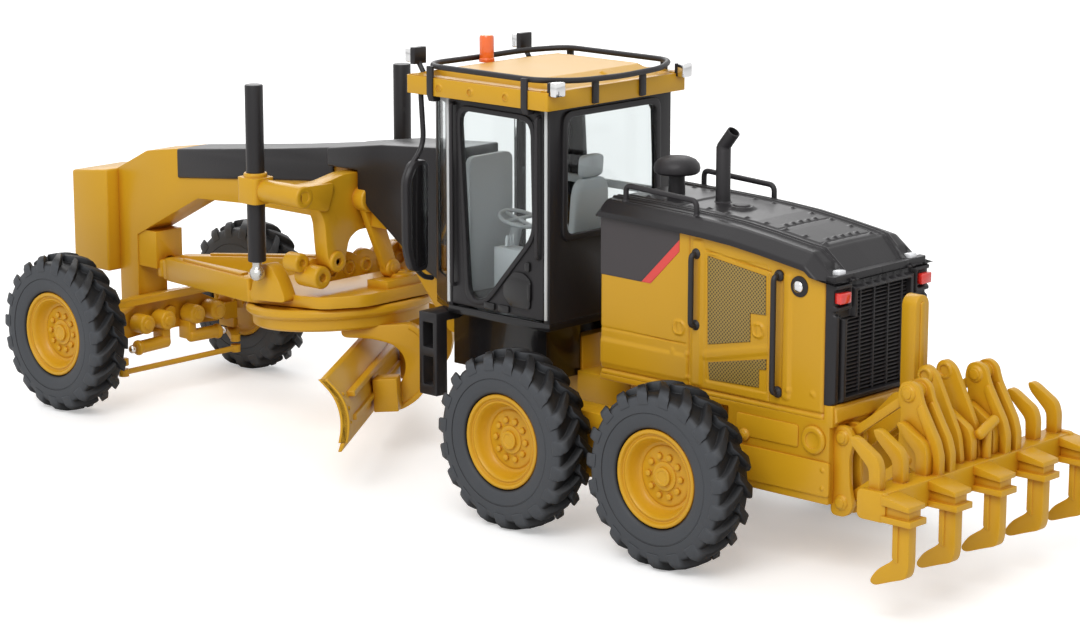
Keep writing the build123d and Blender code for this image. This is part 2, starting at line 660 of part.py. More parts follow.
def make_saddle():
    """Saddle with arms, legs and yokes, the link bar, and the two lift cylinders."""
    half = [
        (0, 46.2), (8, 46.0), (13, 45.6), (18.2, 44.6), (18.2, 42.2), (12.2, 40.2), (11.7, 33.0), (10.8, 31.0),
        (8.4, 31.0), (7.4, 33.0), (5.6, 36.0), (0, 36.0),
    ]
    outline = half + [(-y, z) for y, z in reversed(half)]
    rear, front = at(SADDLE) - SADDLE_T / 2, at(SADDLE) + SADDLE_T / 2
    plate = cross_plate(outline, (rear, front))
    plate -= block((rear - 1, front + 1), (-BEAM_HALF, BEAM_HALF), (BEAM_UNDER, 47.0))
    yoke_x = (at(LIFT) - YOKE_HALF, at(LIFT) + YOKE_HALF)
    yoke = bar((front, LIFT_Y, YOKE_Z), (yoke_x[0], LIFT_Y, YOKE_Z), 1.6)
    yoke += block(yoke_x, (LIFT_Y - 2.2, LIFT_Y + 2.2), (YOKE_Z - 2.1, YOKE_Z + 2.1))
    yoke -= bar((at(LIFT), LIFT_Y, YOKE_Z - 3), (at(LIFT), LIFT_Y, YOKE_Z + 3), LIFT_R + RUNNING)
    save("saddle", plate + both(yoke))
    link = block((front, front + LINK_BAR_T), (-LINK_BAR_HALF, LINK_BAR_HALF), (LINK_BAR_LOW, LINK_BAR_TOP))
    for count in range(-2, 3):
        y = count * LINK_HOLE_PITCH
        link -= bar((front - 1, y, LINK_BAR_LOW + 1.6), (front + 3, y, LINK_BAR_LOW + 1.6), 0.8)
    shift = bar((rear - 2.0, 6.0, 37.6), (rear, 6.0, 37.6), 1.6)
    shift += bar((rear - 1.2, 6.0, 37.6), (rear - 1.2, -8.4, 28.4), 1.0)
    save("link_bar", link, shift)
    barrel = bar((at(LIFT), LIFT_Y, LIFT_LOW), (at(LIFT), LIFT_Y, LIFT_TOP), LIFT_R)
    barrel -= bar((at(LIFT), LIFT_Y, LIFT_LOW), (at(LIFT), LIFT_Y, LIFT_TOP - 1.5), ROD_R + RUNNING)
    save("lift_cylinders", barrel, mirrored(barrel))
    rod = bar((at(LIFT), LIFT_Y, BALL_Z), (at(LIFT), LIFT_Y, BALL_Z + ROD_LENGTH), ROD_R)
    rod += Pos(at(LIFT), LIFT_Y, BALL_Z) * Sphere(BALL_R)
    save("lift_rod_left", rod)
    save("lift_rod_right", mirrored(rod))


def pitched(shape):
    """A drawbar piece, drawn level, pitched about the ball."""
    return shape.rotate(Axis((at(BALL), 0, DRAW_Z), (0, 1, 0)), PITCH)


def angled(shape):
    """A blade piece, drawn square across, turned with the circle and pitched."""
    return pitched(shape.rotate(Axis((at(CIRCLE), 0, 0), (0, 0, 1)), BLADE_ANGLE))


def make_drawbar():
    """Drawbar with its ball, plate, legs, ears and circle drive."""
    x, low = at(CIRCLE), RIM_TOP + GAP
    half = [(-15.0, 8.0), (-10.0, PLATE_HALF), (8.0, PLATE_HALF), (14.0, PLATE_HALF - 2.4)]
    outline = [(x + along, y) for along, y in half] + [(x + along, -y) for along, y in reversed(half)]
    drawbar = flat_plate(outline, (low, PLATE_TOP))
    leg = [
        (x + 8.0, PLATE_HALF), (x + 8.0, PLATE_HALF - 3.8), (at(BALL) - 5.8, 0.8), (at(BALL) - 3.8, 0.8),
        (at(BALL) - 3.8, 2.6), (at(BALL) - 5.4, 3.2),
    ]
    drawbar += both(flat_plate(leg, (low, PLATE_TOP + LEG_RISE)))
    drawbar += block((at(BALL) - 6.8, at(BALL) - 3.2), (-2.6, 2.6), (low + 0.2, PLATE_TOP + 1.6))
    drawbar += bar((at(BALL) - 3.8, 0, DRAW_Z), (at(BALL), 0, DRAW_Z), DRAW_NECK_R)
    drawbar += Pos(at(BALL), 0, DRAW_Z) * Sphere(DRAW_BALL_R)
    foot, top = PLATE_TOP - 1, BALL_Z - 2.4
    seat = at(LIFT) - 0.4
    ear = [(seat - 4.5, foot), (seat + 4.0, foot), (seat + 1.6, top), (seat - 1.4, top)]
    drawbar += both(side_plate(ear, (PLATE_HALF - 0.6, LIFT_Y - BALL_R - GAP)))
    drawbar += bar((x - 12.0, -3.0, PLATE_TOP), (x - 12.0, -3.0, PLATE_TOP + 2.0), 2.2)
    drawbar += block((x - 14.4, x - 9.6), (-5.2, 2.6), (PLATE_TOP, PLATE_TOP + 1.4))
    save("drawbar", pitched(drawbar))


def make_circle():
    """Circle with its drum and the two blade arms."""
    x = at(CIRCLE)
    circle = bar((x, 0, DRUM_LOW), (x, 0, RIM_LOW), DRUM_R) + bar((x, 0, RIM_LOW), (x, 0, RIM_TOP), CIRCLE_R)
    arm = [
        (-3.0, DRUM_LOW), (-14.2, DRUM_LOW), (-16.4, 13.6), (-17.2, 10.4), (-16.4, 7.2), (-14.0, 4.2),
        (-11.6, 2.6), (-9.6, 2.2), (-8.6, 3.0), (-8.8, 5.2), (-11.4, 6.6), (-12.4, 9.0), (-12.2, 11.4),
        (-10.4, 13.6), (-7.0, 14.6),
    ]
    solid = side_plate([(x + along, z) for along, z in arm], (ARM_S - ARM_T / 2, ARM_S + ARM_T / 2))
    solid -= bar((x + TIP_T, ARM_S - ARM_T, TIP_Z), (x + TIP_T, ARM_S + ARM_T, TIP_Z), TIP_R + RUNNING)
    save("circle", angled(circle + both(solid)))


def make_blade():
    """Tilting carrier, curved moldboard and cutting edge."""
    x = at(CIRCLE)
    inner = ARM_S + ARM_T / 2 + GAP / 2
    slide = block((x - BLADE_BACK - 4.2, x - BLADE_BACK - GAP), (inner, inner + CARRIER_W), (TIP_Z - 1.2, TIP_Z + 4.2))
    rod = bar((x + TIP_T, -inner, TIP_Z), (x + TIP_T, inner, TIP_Z), TIP_R)
    save("blade_carrier", angled(both(slide) + rod))
    ends = (BLADE_SHIFT - BLADE_LENGTH / 2, BLADE_SHIFT + BLADE_LENGTH / 2)
    low = BLADE_LOW + EDGE_HEIGHT
    back = [(3.2, BLADE_TOP), (1.0, BLADE_TOP - 2.6), (0.0, BLADE_TOP - 5.6), (0.1, low + 2.0), (0.6, low)]
    front = [(1.6, low), (1.1, low + 2.0), (1.0, BLADE_TOP - 5.6), (1.9, BLADE_TOP - 2.4), (4.1, BLADE_TOP)]
    rear = x - BLADE_BACK
    save("moldboard", angled(side_plate([(rear + along, z) for along, z in back + front], ends)))
    edge = [(0.7, low), (1.5, low), (2.0, BLADE_LOW), (1.4, BLADE_LOW)]
    save("cutting_edge", angled(side_plate([(rear + along, z) for along, z in edge], ends)))


def make_front_axle():
    """Axle beam with its lean posts and the lean bar that joins them."""
    x = at(WHEELBASE)
    lean, boss = LEAN_Y, LEAN_BOSS_HALF
    half = [(0, 11.0), (6, 11.0), (lean, LEAN_Z - LEAN_BOSS_R), (lean, LEAN_Z + LEAN_BOSS_R), (6, 17.0), (0, 17.2)]
    outline = half + [(-y, z) for y, z in reversed(half[1:-1])]
    axle = cross_plate(outline, (x - AXLE_HALF_X, at(BOLSTER_REAR) - GAP / 2))
    axle -= bar((x - 5, 0, AXLE_PIN_Z), (x + 5, 0, AXLE_PIN_Z), AXLE_PIN_R + RUNNING)
    for near, far in ((x + boss, x + 4), (x - 4, x - boss)):
        axle -= both(block((near, far), (lean - 2.2, lean + 3), (8, 16)))
    axle += both(bar((x - boss, lean, LEAN_Z), (x + boss, lean, LEAN_Z), LEAN_BOSS_R))
    save("front_axle", axle - both(bar((x - 5, lean, LEAN_Z), (x + 5, lean, LEAN_Z), LEAN_R + RUNNING)))
    post = block((x - PLATE_HALF_X, x + PLATE_HALF_X), (POST_Y, POST_Y + POST_T), (POST_LOW, POST_TOP))
    for near, far in ((x + boss + GAP / 2, x + POST_HALF), (x - POST_HALF, x - boss - GAP / 2)):
        post += block((near, far), (lean, POST_Y), (LEAN_Z - LEAN_BOSS_R, LEAN_Z + LEAN_BOSS_R))
        post += block((near, far), (POST_Y, POST_Y + POST_T), (LEAN_Z - LEAN_BOSS_R, LEAN_Z + LEAN_BOSS_R))
        post += bar((near, lean, LEAN_Z), (far, lean, LEAN_Z), LEAN_BOSS_R)
    post += bar((x - POST_HALF, lean, LEAN_Z), (x + POST_HALF, lean, LEAN_Z), LEAN_R)
    post += block((x - POST_HALF, x - POST_HALF + 0.9), (lean - 1.0, POST_Y + POST_T), (BAR_Z - 1.0, BAR_Z + 1.0))
    post += bar((x - BAR_BACK - 0.7, lean, BAR_Z), (x - POST_HALF, lean, BAR_Z), BAR_PIN_R)
    for low in (POST_LOW, POST_LOW + FLANGE_PITCH):
        post += block((x - FLANGE_R, x + FLANGE_R), (POST_Y + POST_T, KING_Y), (low, low + FLANGE_T))
        post += bar((x, KING_Y, low), (x, KING_Y, low + FLANGE_T), FLANGE_R)
    post -= bar((x, KING_Y, POST_LOW - 1), (x, KING_Y, POST_TOP), KING_R + RUNNING)
    save("lean_post_left", post)
    save("lean_post_right", mirrored(post))
    bar_x = (x - BAR_BACK - 0.55, x - BAR_BACK + 0.55)
    eye = bar((bar_x[0], lean, BAR_Z), (bar_x[1], lean, BAR_Z), BAR_EYE_R)
    lean_bar = block(bar_x, (-lean, lean), (BAR_Z - 0.7, BAR_Z + 0.7)) + both(eye)
    hole = bar((bar_x[0] - 1, lean, BAR_Z), (bar_x[1] + 1, lean, BAR_Z), BAR_PIN_R + RUNNING)
    save("lean_bar", lean_bar - both(hole))


def make_steering():
    """Knuckles with their kingpins and arms, and the tie rod."""
    x = at(WHEELBASE)
    low, high = POST_LOW + FLANGE_T + GAP / 2, POST_LOW + FLANGE_PITCH - GAP / 2
    face = WHEEL_Y - RIM_HALF - GAP / 2
    boss_y = KING_Y + 1.05
    neck = [(x - 0.8, KING_Y), (x + 0.8, KING_Y), (x + KNUCKLE_BOSS_R, boss_y), (x - KNUCKLE_BOSS_R, boss_y)]
    knuckle = flat_plate(neck, (TYRE_R - KNUCKLE_BOSS_R, TYRE_R + KNUCKLE_BOSS_R))
    knuckle += bar((x, KING_Y, low), (x, KING_Y, high), KING_BARREL_R)
    knuckle += bar((x, boss_y, TYRE_R), (x, face, TYRE_R), KNUCKLE_BOSS_R)
    knuckle += bar((x, face, TYRE_R), (x, SPINDLE_END, TYRE_R), SPINDLE_R)
    knuckle += bar((x, KING_Y, STEER_ARM_LOW), (x, KING_Y, low), KING_R)
    knuckle += bar((x, KING_Y, high), (x, KING_Y, high + FLANGE_T + 0.5), KING_R)
    arm_z = (STEER_ARM_LOW, STEER_ARM_LOW + STEER_ARM_T)
    arm = [
        (x + 0.9, KING_Y - 0.8), (x + 0.9, KING_Y + 0.8), (x - 1.0, KING_Y + 0.8),
        (x - TIE_BACK, TIE_Y + 0.9), (x - TIE_BACK, TIE_Y - 0.9),
    ]
    knuckle += flat_plate(arm, arm_z)
    knuckle += bar((x - TIE_BACK, TIE_Y, arm_z[0]), (x - TIE_BACK, TIE_Y, arm_z[1]), TIE_EYE_R)
    save("knuckle_left", knuckle)
    save("knuckle_right", mirrored(knuckle))
    tie_x, top = x - TIE_BACK, STEER_ARM_LOW - TIE_DROP
    middle = top - TIE_EYE_T / 2
    tie = bar((tie_x, -TIE_Y, middle), (tie_x, TIE_Y, middle), TIE_R)
    save("tie_rod", tie + both(bar((tie_x, TIE_Y, top - TIE_EYE_T), (tie_x, TIE_Y, top), TIE_EYE_R)))


LOW_PIN = (BRACKET, BRACKET_LOW)
HIGH_PIN = (BRACKET, BRACKET_HIGH)
LOW_END = (BRACKET - LINK_RUN, BRACKET_LOW + LINK_RISE)
HIGH_END = (BRACKET - LINK_RUN, BRACKET_HIGH + LINK_RISE)
CROSS = (RIPPER_CYL, BRACKET_LOW + LINK_RISE * (BRACKET - RIPPER_CYL) / LINK_RUN)
LINK_SPAN = (LINK_Y - LINK_T / 2, LINK_Y + LINK_T / 2)
CHEEKS = (
    (LINK_SPAN[0] - GAP - CHEEK_T, LINK_SPAN[0] - GAP),
    (LINK_SPAN[1] + GAP, LINK_SPAN[1] + GAP + CHEEK_T),
)


def link_pins(pins, y):
    """Round pins across the machine at (station, z) places."""
    solid = Part()
    for station, z in pins:
        solid += bar((at(station), y[0], z), (at(station), y[1], z), LINK_PIN_R)
    return solid


def ripper_link(start, end):
    """A flat link with round ends, bored for its two pins."""
    run, rise = end[0] - start[0], end[1] - start[1]
    across = (LINK_END_R - 0.2) / hypot(run, rise)
    out = (-rise * across, run * across)
    outline = [
        (start[0] + out[0], start[1] + out[1]), (end[0] + out[0], end[1] + out[1]),
        (end[0] - out[0], end[1] - out[1]), (start[0] - out[0], start[1] - out[1]),
    ]
    link = side_plate(placed(outline), LINK_SPAN)
    for station, z in (start, end):
        link += bar((at(station), LINK_SPAN[0], z), (at(station), LINK_SPAN[1], z), LINK_END_R)
    for station, z in (start, end):
        link -= bar((at(station), LINK_SPAN[0] - 1, z), (at(station), LINK_SPAN[1] + 1, z), LINK_PIN_R + RUNNING)
    return link


def make_ripper_mounting():
    """Brackets on the rear frame, the four links, and the lift cylinder with its rod."""
    ear = [
        (FRAME_REAR, 9.6), (BRACKET - 1.0, 9.6), (BRACKET - 2.0, BRACKET_LOW - 0.5), (BRACKET - 1.2, 13.6),
        (BRACKET - 1.0, 18.6), (BRACKET - 1.8, BRACKET_HIGH), (BRACKET - 1.0, FRAME_TOP), (FRAME_REAR, FRAME_TOP),
    ]
    bracket = link_pins((LOW_PIN, HIGH_PIN), (CHEEKS[0][0], CHEEKS[1][1] + 0.3))
    for y in CHEEKS:
        bracket += side_plate(placed(ear), y)
    inner = RIPPER_CYL_R + GAP / 2
    plate = [
        (FRAME_REAR, 17.5), (FRAME_REAR, FRAME_TOP), (HOOD_REAR - SURROUND_T - RUNNING, FRAME_TOP), (-41.0, 27.0),
        (RIPPER_CYL - 1.5, 27.0), (RIPPER_CYL - 1.5, 24.5), (-41.0, 21.5),
    ]
    trunnion = side_plate(placed(plate), (inner, inner + 1.0))
    save("ripper_bracket", bracket, mirrored(bracket), trunnion, mirrored(trunnion))
    x, top = at(RIPPER_CYL), RIPPER_CYL_TOP - RIPPER_CYL_R
    cylinder = bar((x, 0, RIPPER_CYL_LOW), (x, 0, top), RIPPER_CYL_R) + Pos(x, 0, top) * Sphere(RIPPER_CYL_R)
    cylinder += bar((x, -inner, TRUNNION_Z), (x, inner, TRUNNION_Z), 0.8)
    cylinder -= bar((x, 0, RIPPER_CYL_LOW - 1), (x, 0, top - 1.5), ROD_R + RUNNING)
    save("ripper_cylinder", cylinder)
    rod = bar((x, 0, CROSS[1] + 1.2), (x, 0, RIPPER_CYL_LOW + 10), ROD_R)
    rod += block((x - 2.5, x + 1.3), (-0.9, 0.9), (CROSS[1] - 1.5, CROSS[1] + 1.5))
    slot = block((x - 2.0, x + LINK_PIN_R + 0.1), (-2, 2), (CROSS[1] - LINK_PIN_R - GAP, CROSS[1] + LINK_PIN_R + GAP))
    save("ripper_rod", rod - slot)
    lower = both(ripper_link(LOW_PIN, LOW_END)) + link_pins((CROSS,), (-LINK_SPAN[0], LINK_SPAN[0]))
    save("ripper_lower_link", lower)
    upper = ripper_link(HIGH_PIN, HIGH_END)
    save("ripper_upper_links", upper, mirrored(upper))


def make_ripper():
    """Beam with its towers, holders, tines and tow pin, and the five shanks."""
    beam = block((at(BEAM_REAR), at(BEAM_FRONT)), (-BEAM_END, BEAM_END), (BEAM_LOW, BEAM_TOP))
    tower = [
        (BEAM_REAR + 0.4, BEAM_TOP), (BEAM_FRONT, BEAM_TOP), (LOW_END[0] + 1.4, LOW_END[1] - 1.0),
        (LOW_END[0] + 1.4, LOW_END[1] + 1.2), (HIGH_END[0] + 1.5, HIGH_END[1] - 0.4),
        (HIGH_END[0] + 0.8, HIGH_END[1] + 1.4), (HIGH_END[0] - 1.0, HIGH_END[1] + 1.4),
    ]
    side = link_pins((LOW_END, HIGH_END), (CHEEKS[0][0], CHEEKS[1][1] + 0.3))
    for y in CHEEKS:
        side += side_plate(placed(tower), y)
    middle = [
        (BEAM_REAR + 2.0, BEAM_TOP), (BEAM_FRONT, BEAM_TOP), (BEAM_FRONT + 5.2, 29.6), (BEAM_FRONT + 4.8, 31.4),
        (BEAM_FRONT + 3.2, 31.4),
    ]
    side += side_plate(placed(middle), (1.8, 1.8 + CHEEK_T))
    beam += both(side)
    back, front = BEAM_REAR - 3.9, BEAM_REAR - 1.5
    shank = [
        (back, 17.2), (front, 17.2), (front, 9.2), (front + 3.0, 7.0), (front + 4.0, 5.7), (front + 3.2, 5.4),
        (front - 0.2, 6.6), (back, 8.8),
    ]
    shanks = []
    for count in range(SHANK_COUNT):
        y = (count - (SHANK_COUNT - 1) / 2) * SHANK_PITCH
        width = (y - HOLDER_HALF, y + HOLDER_HALF)
        beam += block((at(back) - 0.6, at(BEAM_REAR)), width, (BEAM_LOW + 0.4, BEAM_TOP - 0.2))
        beam += block((at(back) - 0.9, at(BEAM_REAR)), width, (BEAM_LOW, BEAM_LOW + 1.1))
        slot = (y - SHANK_T / 2 - RUNNING, y + SHANK_T / 2 + RUNNING)
        beam -= block((at(back) - RUNNING, at(front) + RUNNING), slot, (BEAM_LOW - 1, BEAM_TOP + 1))
        shanks.append(side_plate(placed(shank), (y - SHANK_T / 2, y + SHANK_T / 2)))
    save("ripper_shanks", *shanks)
    foot = BEAM_REAR + 1.3
    tine = [
        (foot, BEAM_TOP), (foot + 1.8, BEAM_TOP), (foot + 1.8, 21.8), (foot + 4.6, 24.2), (foot + 5.2, 25.5),
        (foot + 4.0, 25.2), (foot, 22.4),
    ]
    for count in range(TINE_COUNT):
        y = (count - (TINE_COUNT - 1) / 2) * TINE_PITCH
        beam += side_plate(placed(tine), (y - TINE_T / 2, y + TINE_T / 2))
    x = at(BEAM_REAR) + 1.0
    beam += bar((x, -2.7, BEAM_TOP), (x, -2.7, 23.0), 0.7) + bar((x, 0.0, 22.0), (x, -5.0, 24.0), 0.75)
    save("ripper_beam", beam)


def main():
    """Make every piece."""
    make_wheels()
    make_tandems()
    make_rear_frame()
    make_hood()
    make_hood_fittings()
    make_front_frame()
    make_cab()
    make_cab_inside()
    make_cab_fittings()
    make_saddle()
    make_drawbar()
    make_circle()
    make_blade()
    make_front_axle()
    make_steering()
    make_ripper_mounting()
    make_ripper()


main()
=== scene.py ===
"""Looks of a 1:50 motor grader model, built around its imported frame.

Shapes are worked out in millimetres: x is the station ahead of the middle of the tandem pair, y points
to the left and z up. make_piece() carries them to the frame's own axes.
"""

import json
import math

import bmesh
import bpy
import numpy as np
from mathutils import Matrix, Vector

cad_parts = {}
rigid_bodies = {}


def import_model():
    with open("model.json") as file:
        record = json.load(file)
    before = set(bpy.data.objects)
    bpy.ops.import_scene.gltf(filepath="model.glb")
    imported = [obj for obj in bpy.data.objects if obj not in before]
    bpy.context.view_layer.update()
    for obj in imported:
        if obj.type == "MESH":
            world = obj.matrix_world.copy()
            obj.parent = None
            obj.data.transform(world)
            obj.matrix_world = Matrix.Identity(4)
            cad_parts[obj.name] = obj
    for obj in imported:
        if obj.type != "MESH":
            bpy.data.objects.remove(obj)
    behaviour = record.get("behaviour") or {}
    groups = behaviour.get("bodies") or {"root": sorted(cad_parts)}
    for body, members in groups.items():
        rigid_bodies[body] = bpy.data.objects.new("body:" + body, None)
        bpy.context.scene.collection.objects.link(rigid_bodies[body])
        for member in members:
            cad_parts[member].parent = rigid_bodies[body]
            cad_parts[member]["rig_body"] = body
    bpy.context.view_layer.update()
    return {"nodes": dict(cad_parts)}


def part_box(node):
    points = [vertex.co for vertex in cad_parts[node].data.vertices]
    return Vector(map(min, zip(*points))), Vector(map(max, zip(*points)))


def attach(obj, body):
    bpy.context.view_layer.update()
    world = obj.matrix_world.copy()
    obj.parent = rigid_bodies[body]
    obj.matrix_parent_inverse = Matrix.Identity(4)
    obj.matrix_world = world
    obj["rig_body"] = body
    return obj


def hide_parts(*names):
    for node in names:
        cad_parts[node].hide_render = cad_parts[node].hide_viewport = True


bl_info = {
    "name": "Motor grader model",
    "version": (1, 0, 0),
    "blender": (4, 5, 0),
    "location": "View3D > Sidebar > Grader",
    "description": "Builds the painted castings, tyres, cab and stage of a scale motor grader",
    "category": "Object",
}

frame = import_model()
MM = 0.001
STATION_ZERO = np.array((-39.85, 0, 0))
AHEAD, LEFT, UP = (1, 0, 0), (0, 1, 0), (0, 0, 1)


# Arrays of points and faces


def unit(vectors):
    """Vectors scaled to a length of 1."""
    return vectors / np.linalg.norm(vectors, axis=-1, keepdims=True)


def circle(steps):
    """Evenly spread angles of a whole turn."""
    return np.linspace(0, 2 * np.pi, steps, endpoint=False)


def quads(grid, close_u=False, close_v=False):
    """A sheet: point (i, j) of the grid joins (i+1, j), (i+1, j+1) and (i, j+1)."""
    rows, columns = grid.shape[:2]
    i = np.arange(rows if close_u else rows - 1)[:, None]
    j = np.arange(columns if close_v else columns - 1)[None, :]
    after_i, after_j = (i + 1) % rows, (j + 1) % columns
    corners = [i * columns + j, after_i * columns + j, after_i * columns + after_j, i * columns + after_j]
    return grid.reshape(-1, 3), [np.stack(np.broadcast_arrays(*corners), -1).reshape(-1, 4)]


def capped(sheet, count):
    """A sheet of sections of count points each, whose first and last section are filled in."""
    points, faces = sheet
    ends = np.arange(count)
    return points, faces + [ends[None], ends[None] + len(points) - count]


def copies(points, faces):
    """The same faces on each of several sets of points."""
    shift = np.arange(len(points))[:, None, None] * points.shape[1]
    return points.reshape(-1, 3), [(shift + face[None]).reshape(-1, face.shape[1]) for face in faces]


def repeat(part, offsets):
    """One part again at each offset."""
    points, faces = part
    offsets = np.asarray(offsets, float).reshape(-1, 3)
    return copies(offsets[:, None] + points[None], faces)


def join(*parts):
    """Several parts as one."""
    points, faces, count = [], [], 0
    for part_points, part_faces in parts:
        faces += [face + count for face in part_faces]
        points.append(part_points)
        count += len(part_points)
    return np.concatenate(points), faces


def both(*parts):
    """Parts and their reflection in the plane y = 0."""
    points, faces = join(*parts)
    return join((points, faces), (points * (1, -1, 1), faces))


def prism(outline, low, high, axis=1):
    """A flat outline carried straight along an axis: its two loops are joined by quads and capped."""
    outline = np.asarray(outline, float)
    count = len(outline)
    points = np.empty((2, count, 3))
    others = [k for k in range(3) if k != axis]
    points[..., others] = outline
    points[0, :, axis], points[1, :, axis] = low, high
    here = np.arange(count)
    after = (here + 1) % count
    sides = np.stack([here, after, after + count, here + count], 1)
    return points.reshape(-1, 3), [sides, here[None], here[None] + count]


def box(x, y, z):
    """A box between two values each of x, y and z."""
    return prism([(x[0], y[0]), (x[1], y[0]), (x[1], y[1]), (x[0], y[1])], *z, 2)


def rounded_run(points, bend, steps=6):
    """A run of points whose corners are curves: (1-t)^2 * before + 2t(1-t) * corner + t^2 * after."""
    points = np.asarray(points, float)
    corner = points[1:-1]
    back, ahead = points[:-2] - corner, points[2:] - corner
    before = corner + back * np.minimum(0.48, bend / np.linalg.norm(back, axis=1))[:, None]
    after = corner + ahead * np.minimum(0.48, bend / np.linalg.norm(ahead, axis=1))[:, None]
    t = np.linspace(0, 1, steps)[None, :, None]
    curve = (1 - t) ** 2 * before[:, None] + 2 * t * (1 - t) * corner[:, None] + t**2 * after[:, None]
    return np.concatenate([points[:1], curve.reshape(-1, points.shape[1]), points[-1:]])


def loop(corners, bend, steps=5):
    """A closed outline whose corners are rounded as in rounded_run."""
    corners = [tuple(corner) for corner in corners]
    return rounded_run([corners[-1], *corners, corners[0]], bend, steps)[1:-1]


def grown(corners, by):
    """An outline moved outwards: a corner shifts by (n1 + n2) / (1 + n1 . n2) of its two edge normals."""
    corners = np.asarray(corners, float)
    edge = unit(np.roll(corners, -1, 0) - corners)
    normal = np.stack([edge[:, 1], -edge[:, 0]], 1)
    x, y = corners.T
    normal *= np.sign(np.sum(x * np.roll(y, -1) - np.roll(x, -1) * y))
    before = np.roll(normal, 1, 0)
    return corners + by * (normal + before) / (1 + np.sum(normal * before, 1))[:, None]


def plate(outline, low, high, bend, axis=1):
    """A prism whose outline has rounded corners."""
    return prism(loop(outline, bend), low, high, axis)


def oblong(x, z, low, high, bend):
    """A plate along y between two values each of x and z."""
    return plate([(x[0], z[0]), (x[1], z[0]), (x[1], z[1]), (x[0], z[1])], low, high, bend)


def ring_plate(outer, inner, low, high, axis):
    """A flat ring: the outer and the inner loop, each at both ends, are joined by quads all round."""
    grid = np.empty((4, len(outer), 3))
    others = [k for k in range(3) if k != axis]
    for row, (edge, place) in enumerate(((outer, low), (outer, high), (inner, high), (inner, low))):
        grid[row][:, others] = edge
        grid[row][:, axis] = place
    return quads(grid, True, True)


def turned(profile, centre, axis=UP, steps=48, closed=False):
    """A profile of (r, h) turned: centre + h * axis + r * (cos t * across + sin t * beyond)."""
    profile = np.asarray(profile, float)
    axis = unit(np.asarray(axis, float))
    across = unit(np.cross(axis, UP if abs(axis[2]) < 0.9 else AHEAD))
    beyond = np.cross(axis, across)
    t = circle(steps)[:, None, None]
    spoke = np.cos(t) * across + np.sin(t) * beyond
    grid = np.asarray(centre, float) + profile[None, :, 1:] * axis + profile[None, :, :1] * spoke
    return quads(grid, True, closed)


def rod(start, end, radius, soft=0.12, steps=24):
    """A round bar with softened ends, turned about its own line."""
    start, end = np.asarray(start, float), np.asarray(end, float)
    length = np.linalg.norm(end - start)
    soft = min(soft, radius * 0.45, length * 0.3)
    profile = [(0, 0), (radius - soft, 0), (radius, soft), (radius, length - soft), (radius - soft, length)]
    return turned([*profile, (0, length)], start, end - start, steps)


def ball(centre, radius, steps=24):
    """A sphere: half a circle of (r, h) points turned about a line upwards."""
    t = np.linspace(-np.pi / 2, np.pi / 2, steps // 2 + 1)
    return turned(np.stack([radius * np.cos(t), radius * np.sin(t)], 1), centre, steps=steps)


def tube(points, radius, bend, flat, steps=14):
    """A round tube along a rounded run that lies in a plane whose normal is flat."""
    run = rounded_run(points, bend)
    side = np.cross(unit(np.gradient(run, axis=0)), flat)
    t = circle(steps)[None, :, None]
    grid = run[:, None] + radius * (np.cos(t) * side[:, None] + np.sin(t) * np.array(flat))
    return capped(quads(grid, False, True), steps)


def ring_tube(run, radius, steps=12):
    """A closed round tube: each section stands square to the run, with one arm upright."""
    along = unit(np.roll(run, -1, 0) - np.roll(run, 1, 0))
    side = unit(np.cross(along, UP))
    up = np.cross(side, along)
    t = circle(steps)[None, :, None]
    return quads(run[:, None] + radius * (np.cos(t) * side[:, None] + np.sin(t) * up[:, None]), True, True)


def eye(place, low, high, radius, hole, depth, axis=LEFT):
    """A round boss along an axis with a dish, or a raised middle where depth is below zero, in both ends."""
    rim = radius - 0.25
    profile = [
        (0, low + depth), (hole, low + depth), (hole, low), (rim, low), (radius, low + 0.25),
        (radius, high - 0.25), (rim, high), (hole, high), (hole, high - depth), (0, high - depth),
    ]
    return turned(profile, place, axis, 28)


def link(start, end, low, high, radius, waist):
    """A flat link along y: round ends at two (x, z) places, joined by a bar of half width waist."""
    start, end = np.asarray(start, float), np.asarray(end, float)
    along = unit(end - start)
    side = np.array([-along[1], along[0]]) * waist
    bar = prism([start + side, end + side, end - side, start - side], low + 0.15, high - 0.15)
    return join(bar, *[eye((x, 0, z), low, high, radius, radius * 0.5, 0.2) for x, z in (start, end)])


def domes(centres, normal, radius, height, steps=10):
    """Rivet heads: one low dome, turned about its normal, at each centre."""
    t = np.linspace(0, np.pi / 2, 4)
    profile = np.stack([radius * np.cos(t), height * np.sin(t)], 1)
    profile = np.concatenate([[(0, -0.15), (radius, -0.15)], profile])
    return repeat(turned(profile, (0, 0, 0), normal, steps), centres)


def cushion(bottom, top, half):
    """A padded block: a superellipse section that swells between its ends, carried from bottom to top."""
    u = np.linspace(0, 1, 33)[:, None]
    t = circle(48)[None, :]
    swell = (1 - np.abs(2 * u - 1) ** 6) ** (1 / 3)
    c, s = np.cos(t), np.sin(t)
    a, b = np.sign(c) * np.abs(c) ** 0.5 * half[0], np.sign(s) * np.abs(s) ** 0.5 * half[1]
    bottom, top = np.array(bottom, float), np.array(top, float)
    ahead = np.cross(LEFT, unit(top - bottom))
    path = bottom + u[..., None] * (top - bottom)
    return quads(path + (a * swell)[..., None] * ahead + (b * swell)[..., None] * np.array(LEFT), False, True)


# Reliefs: heights over a sheet, built from signed distances that are negative inside a shape


def inside(distance, soft=0.15):
    """1 inside a shape and 0 outside, with a straight slope across its edge."""
    return np.clip(0.5 - distance / soft, 0, 1)


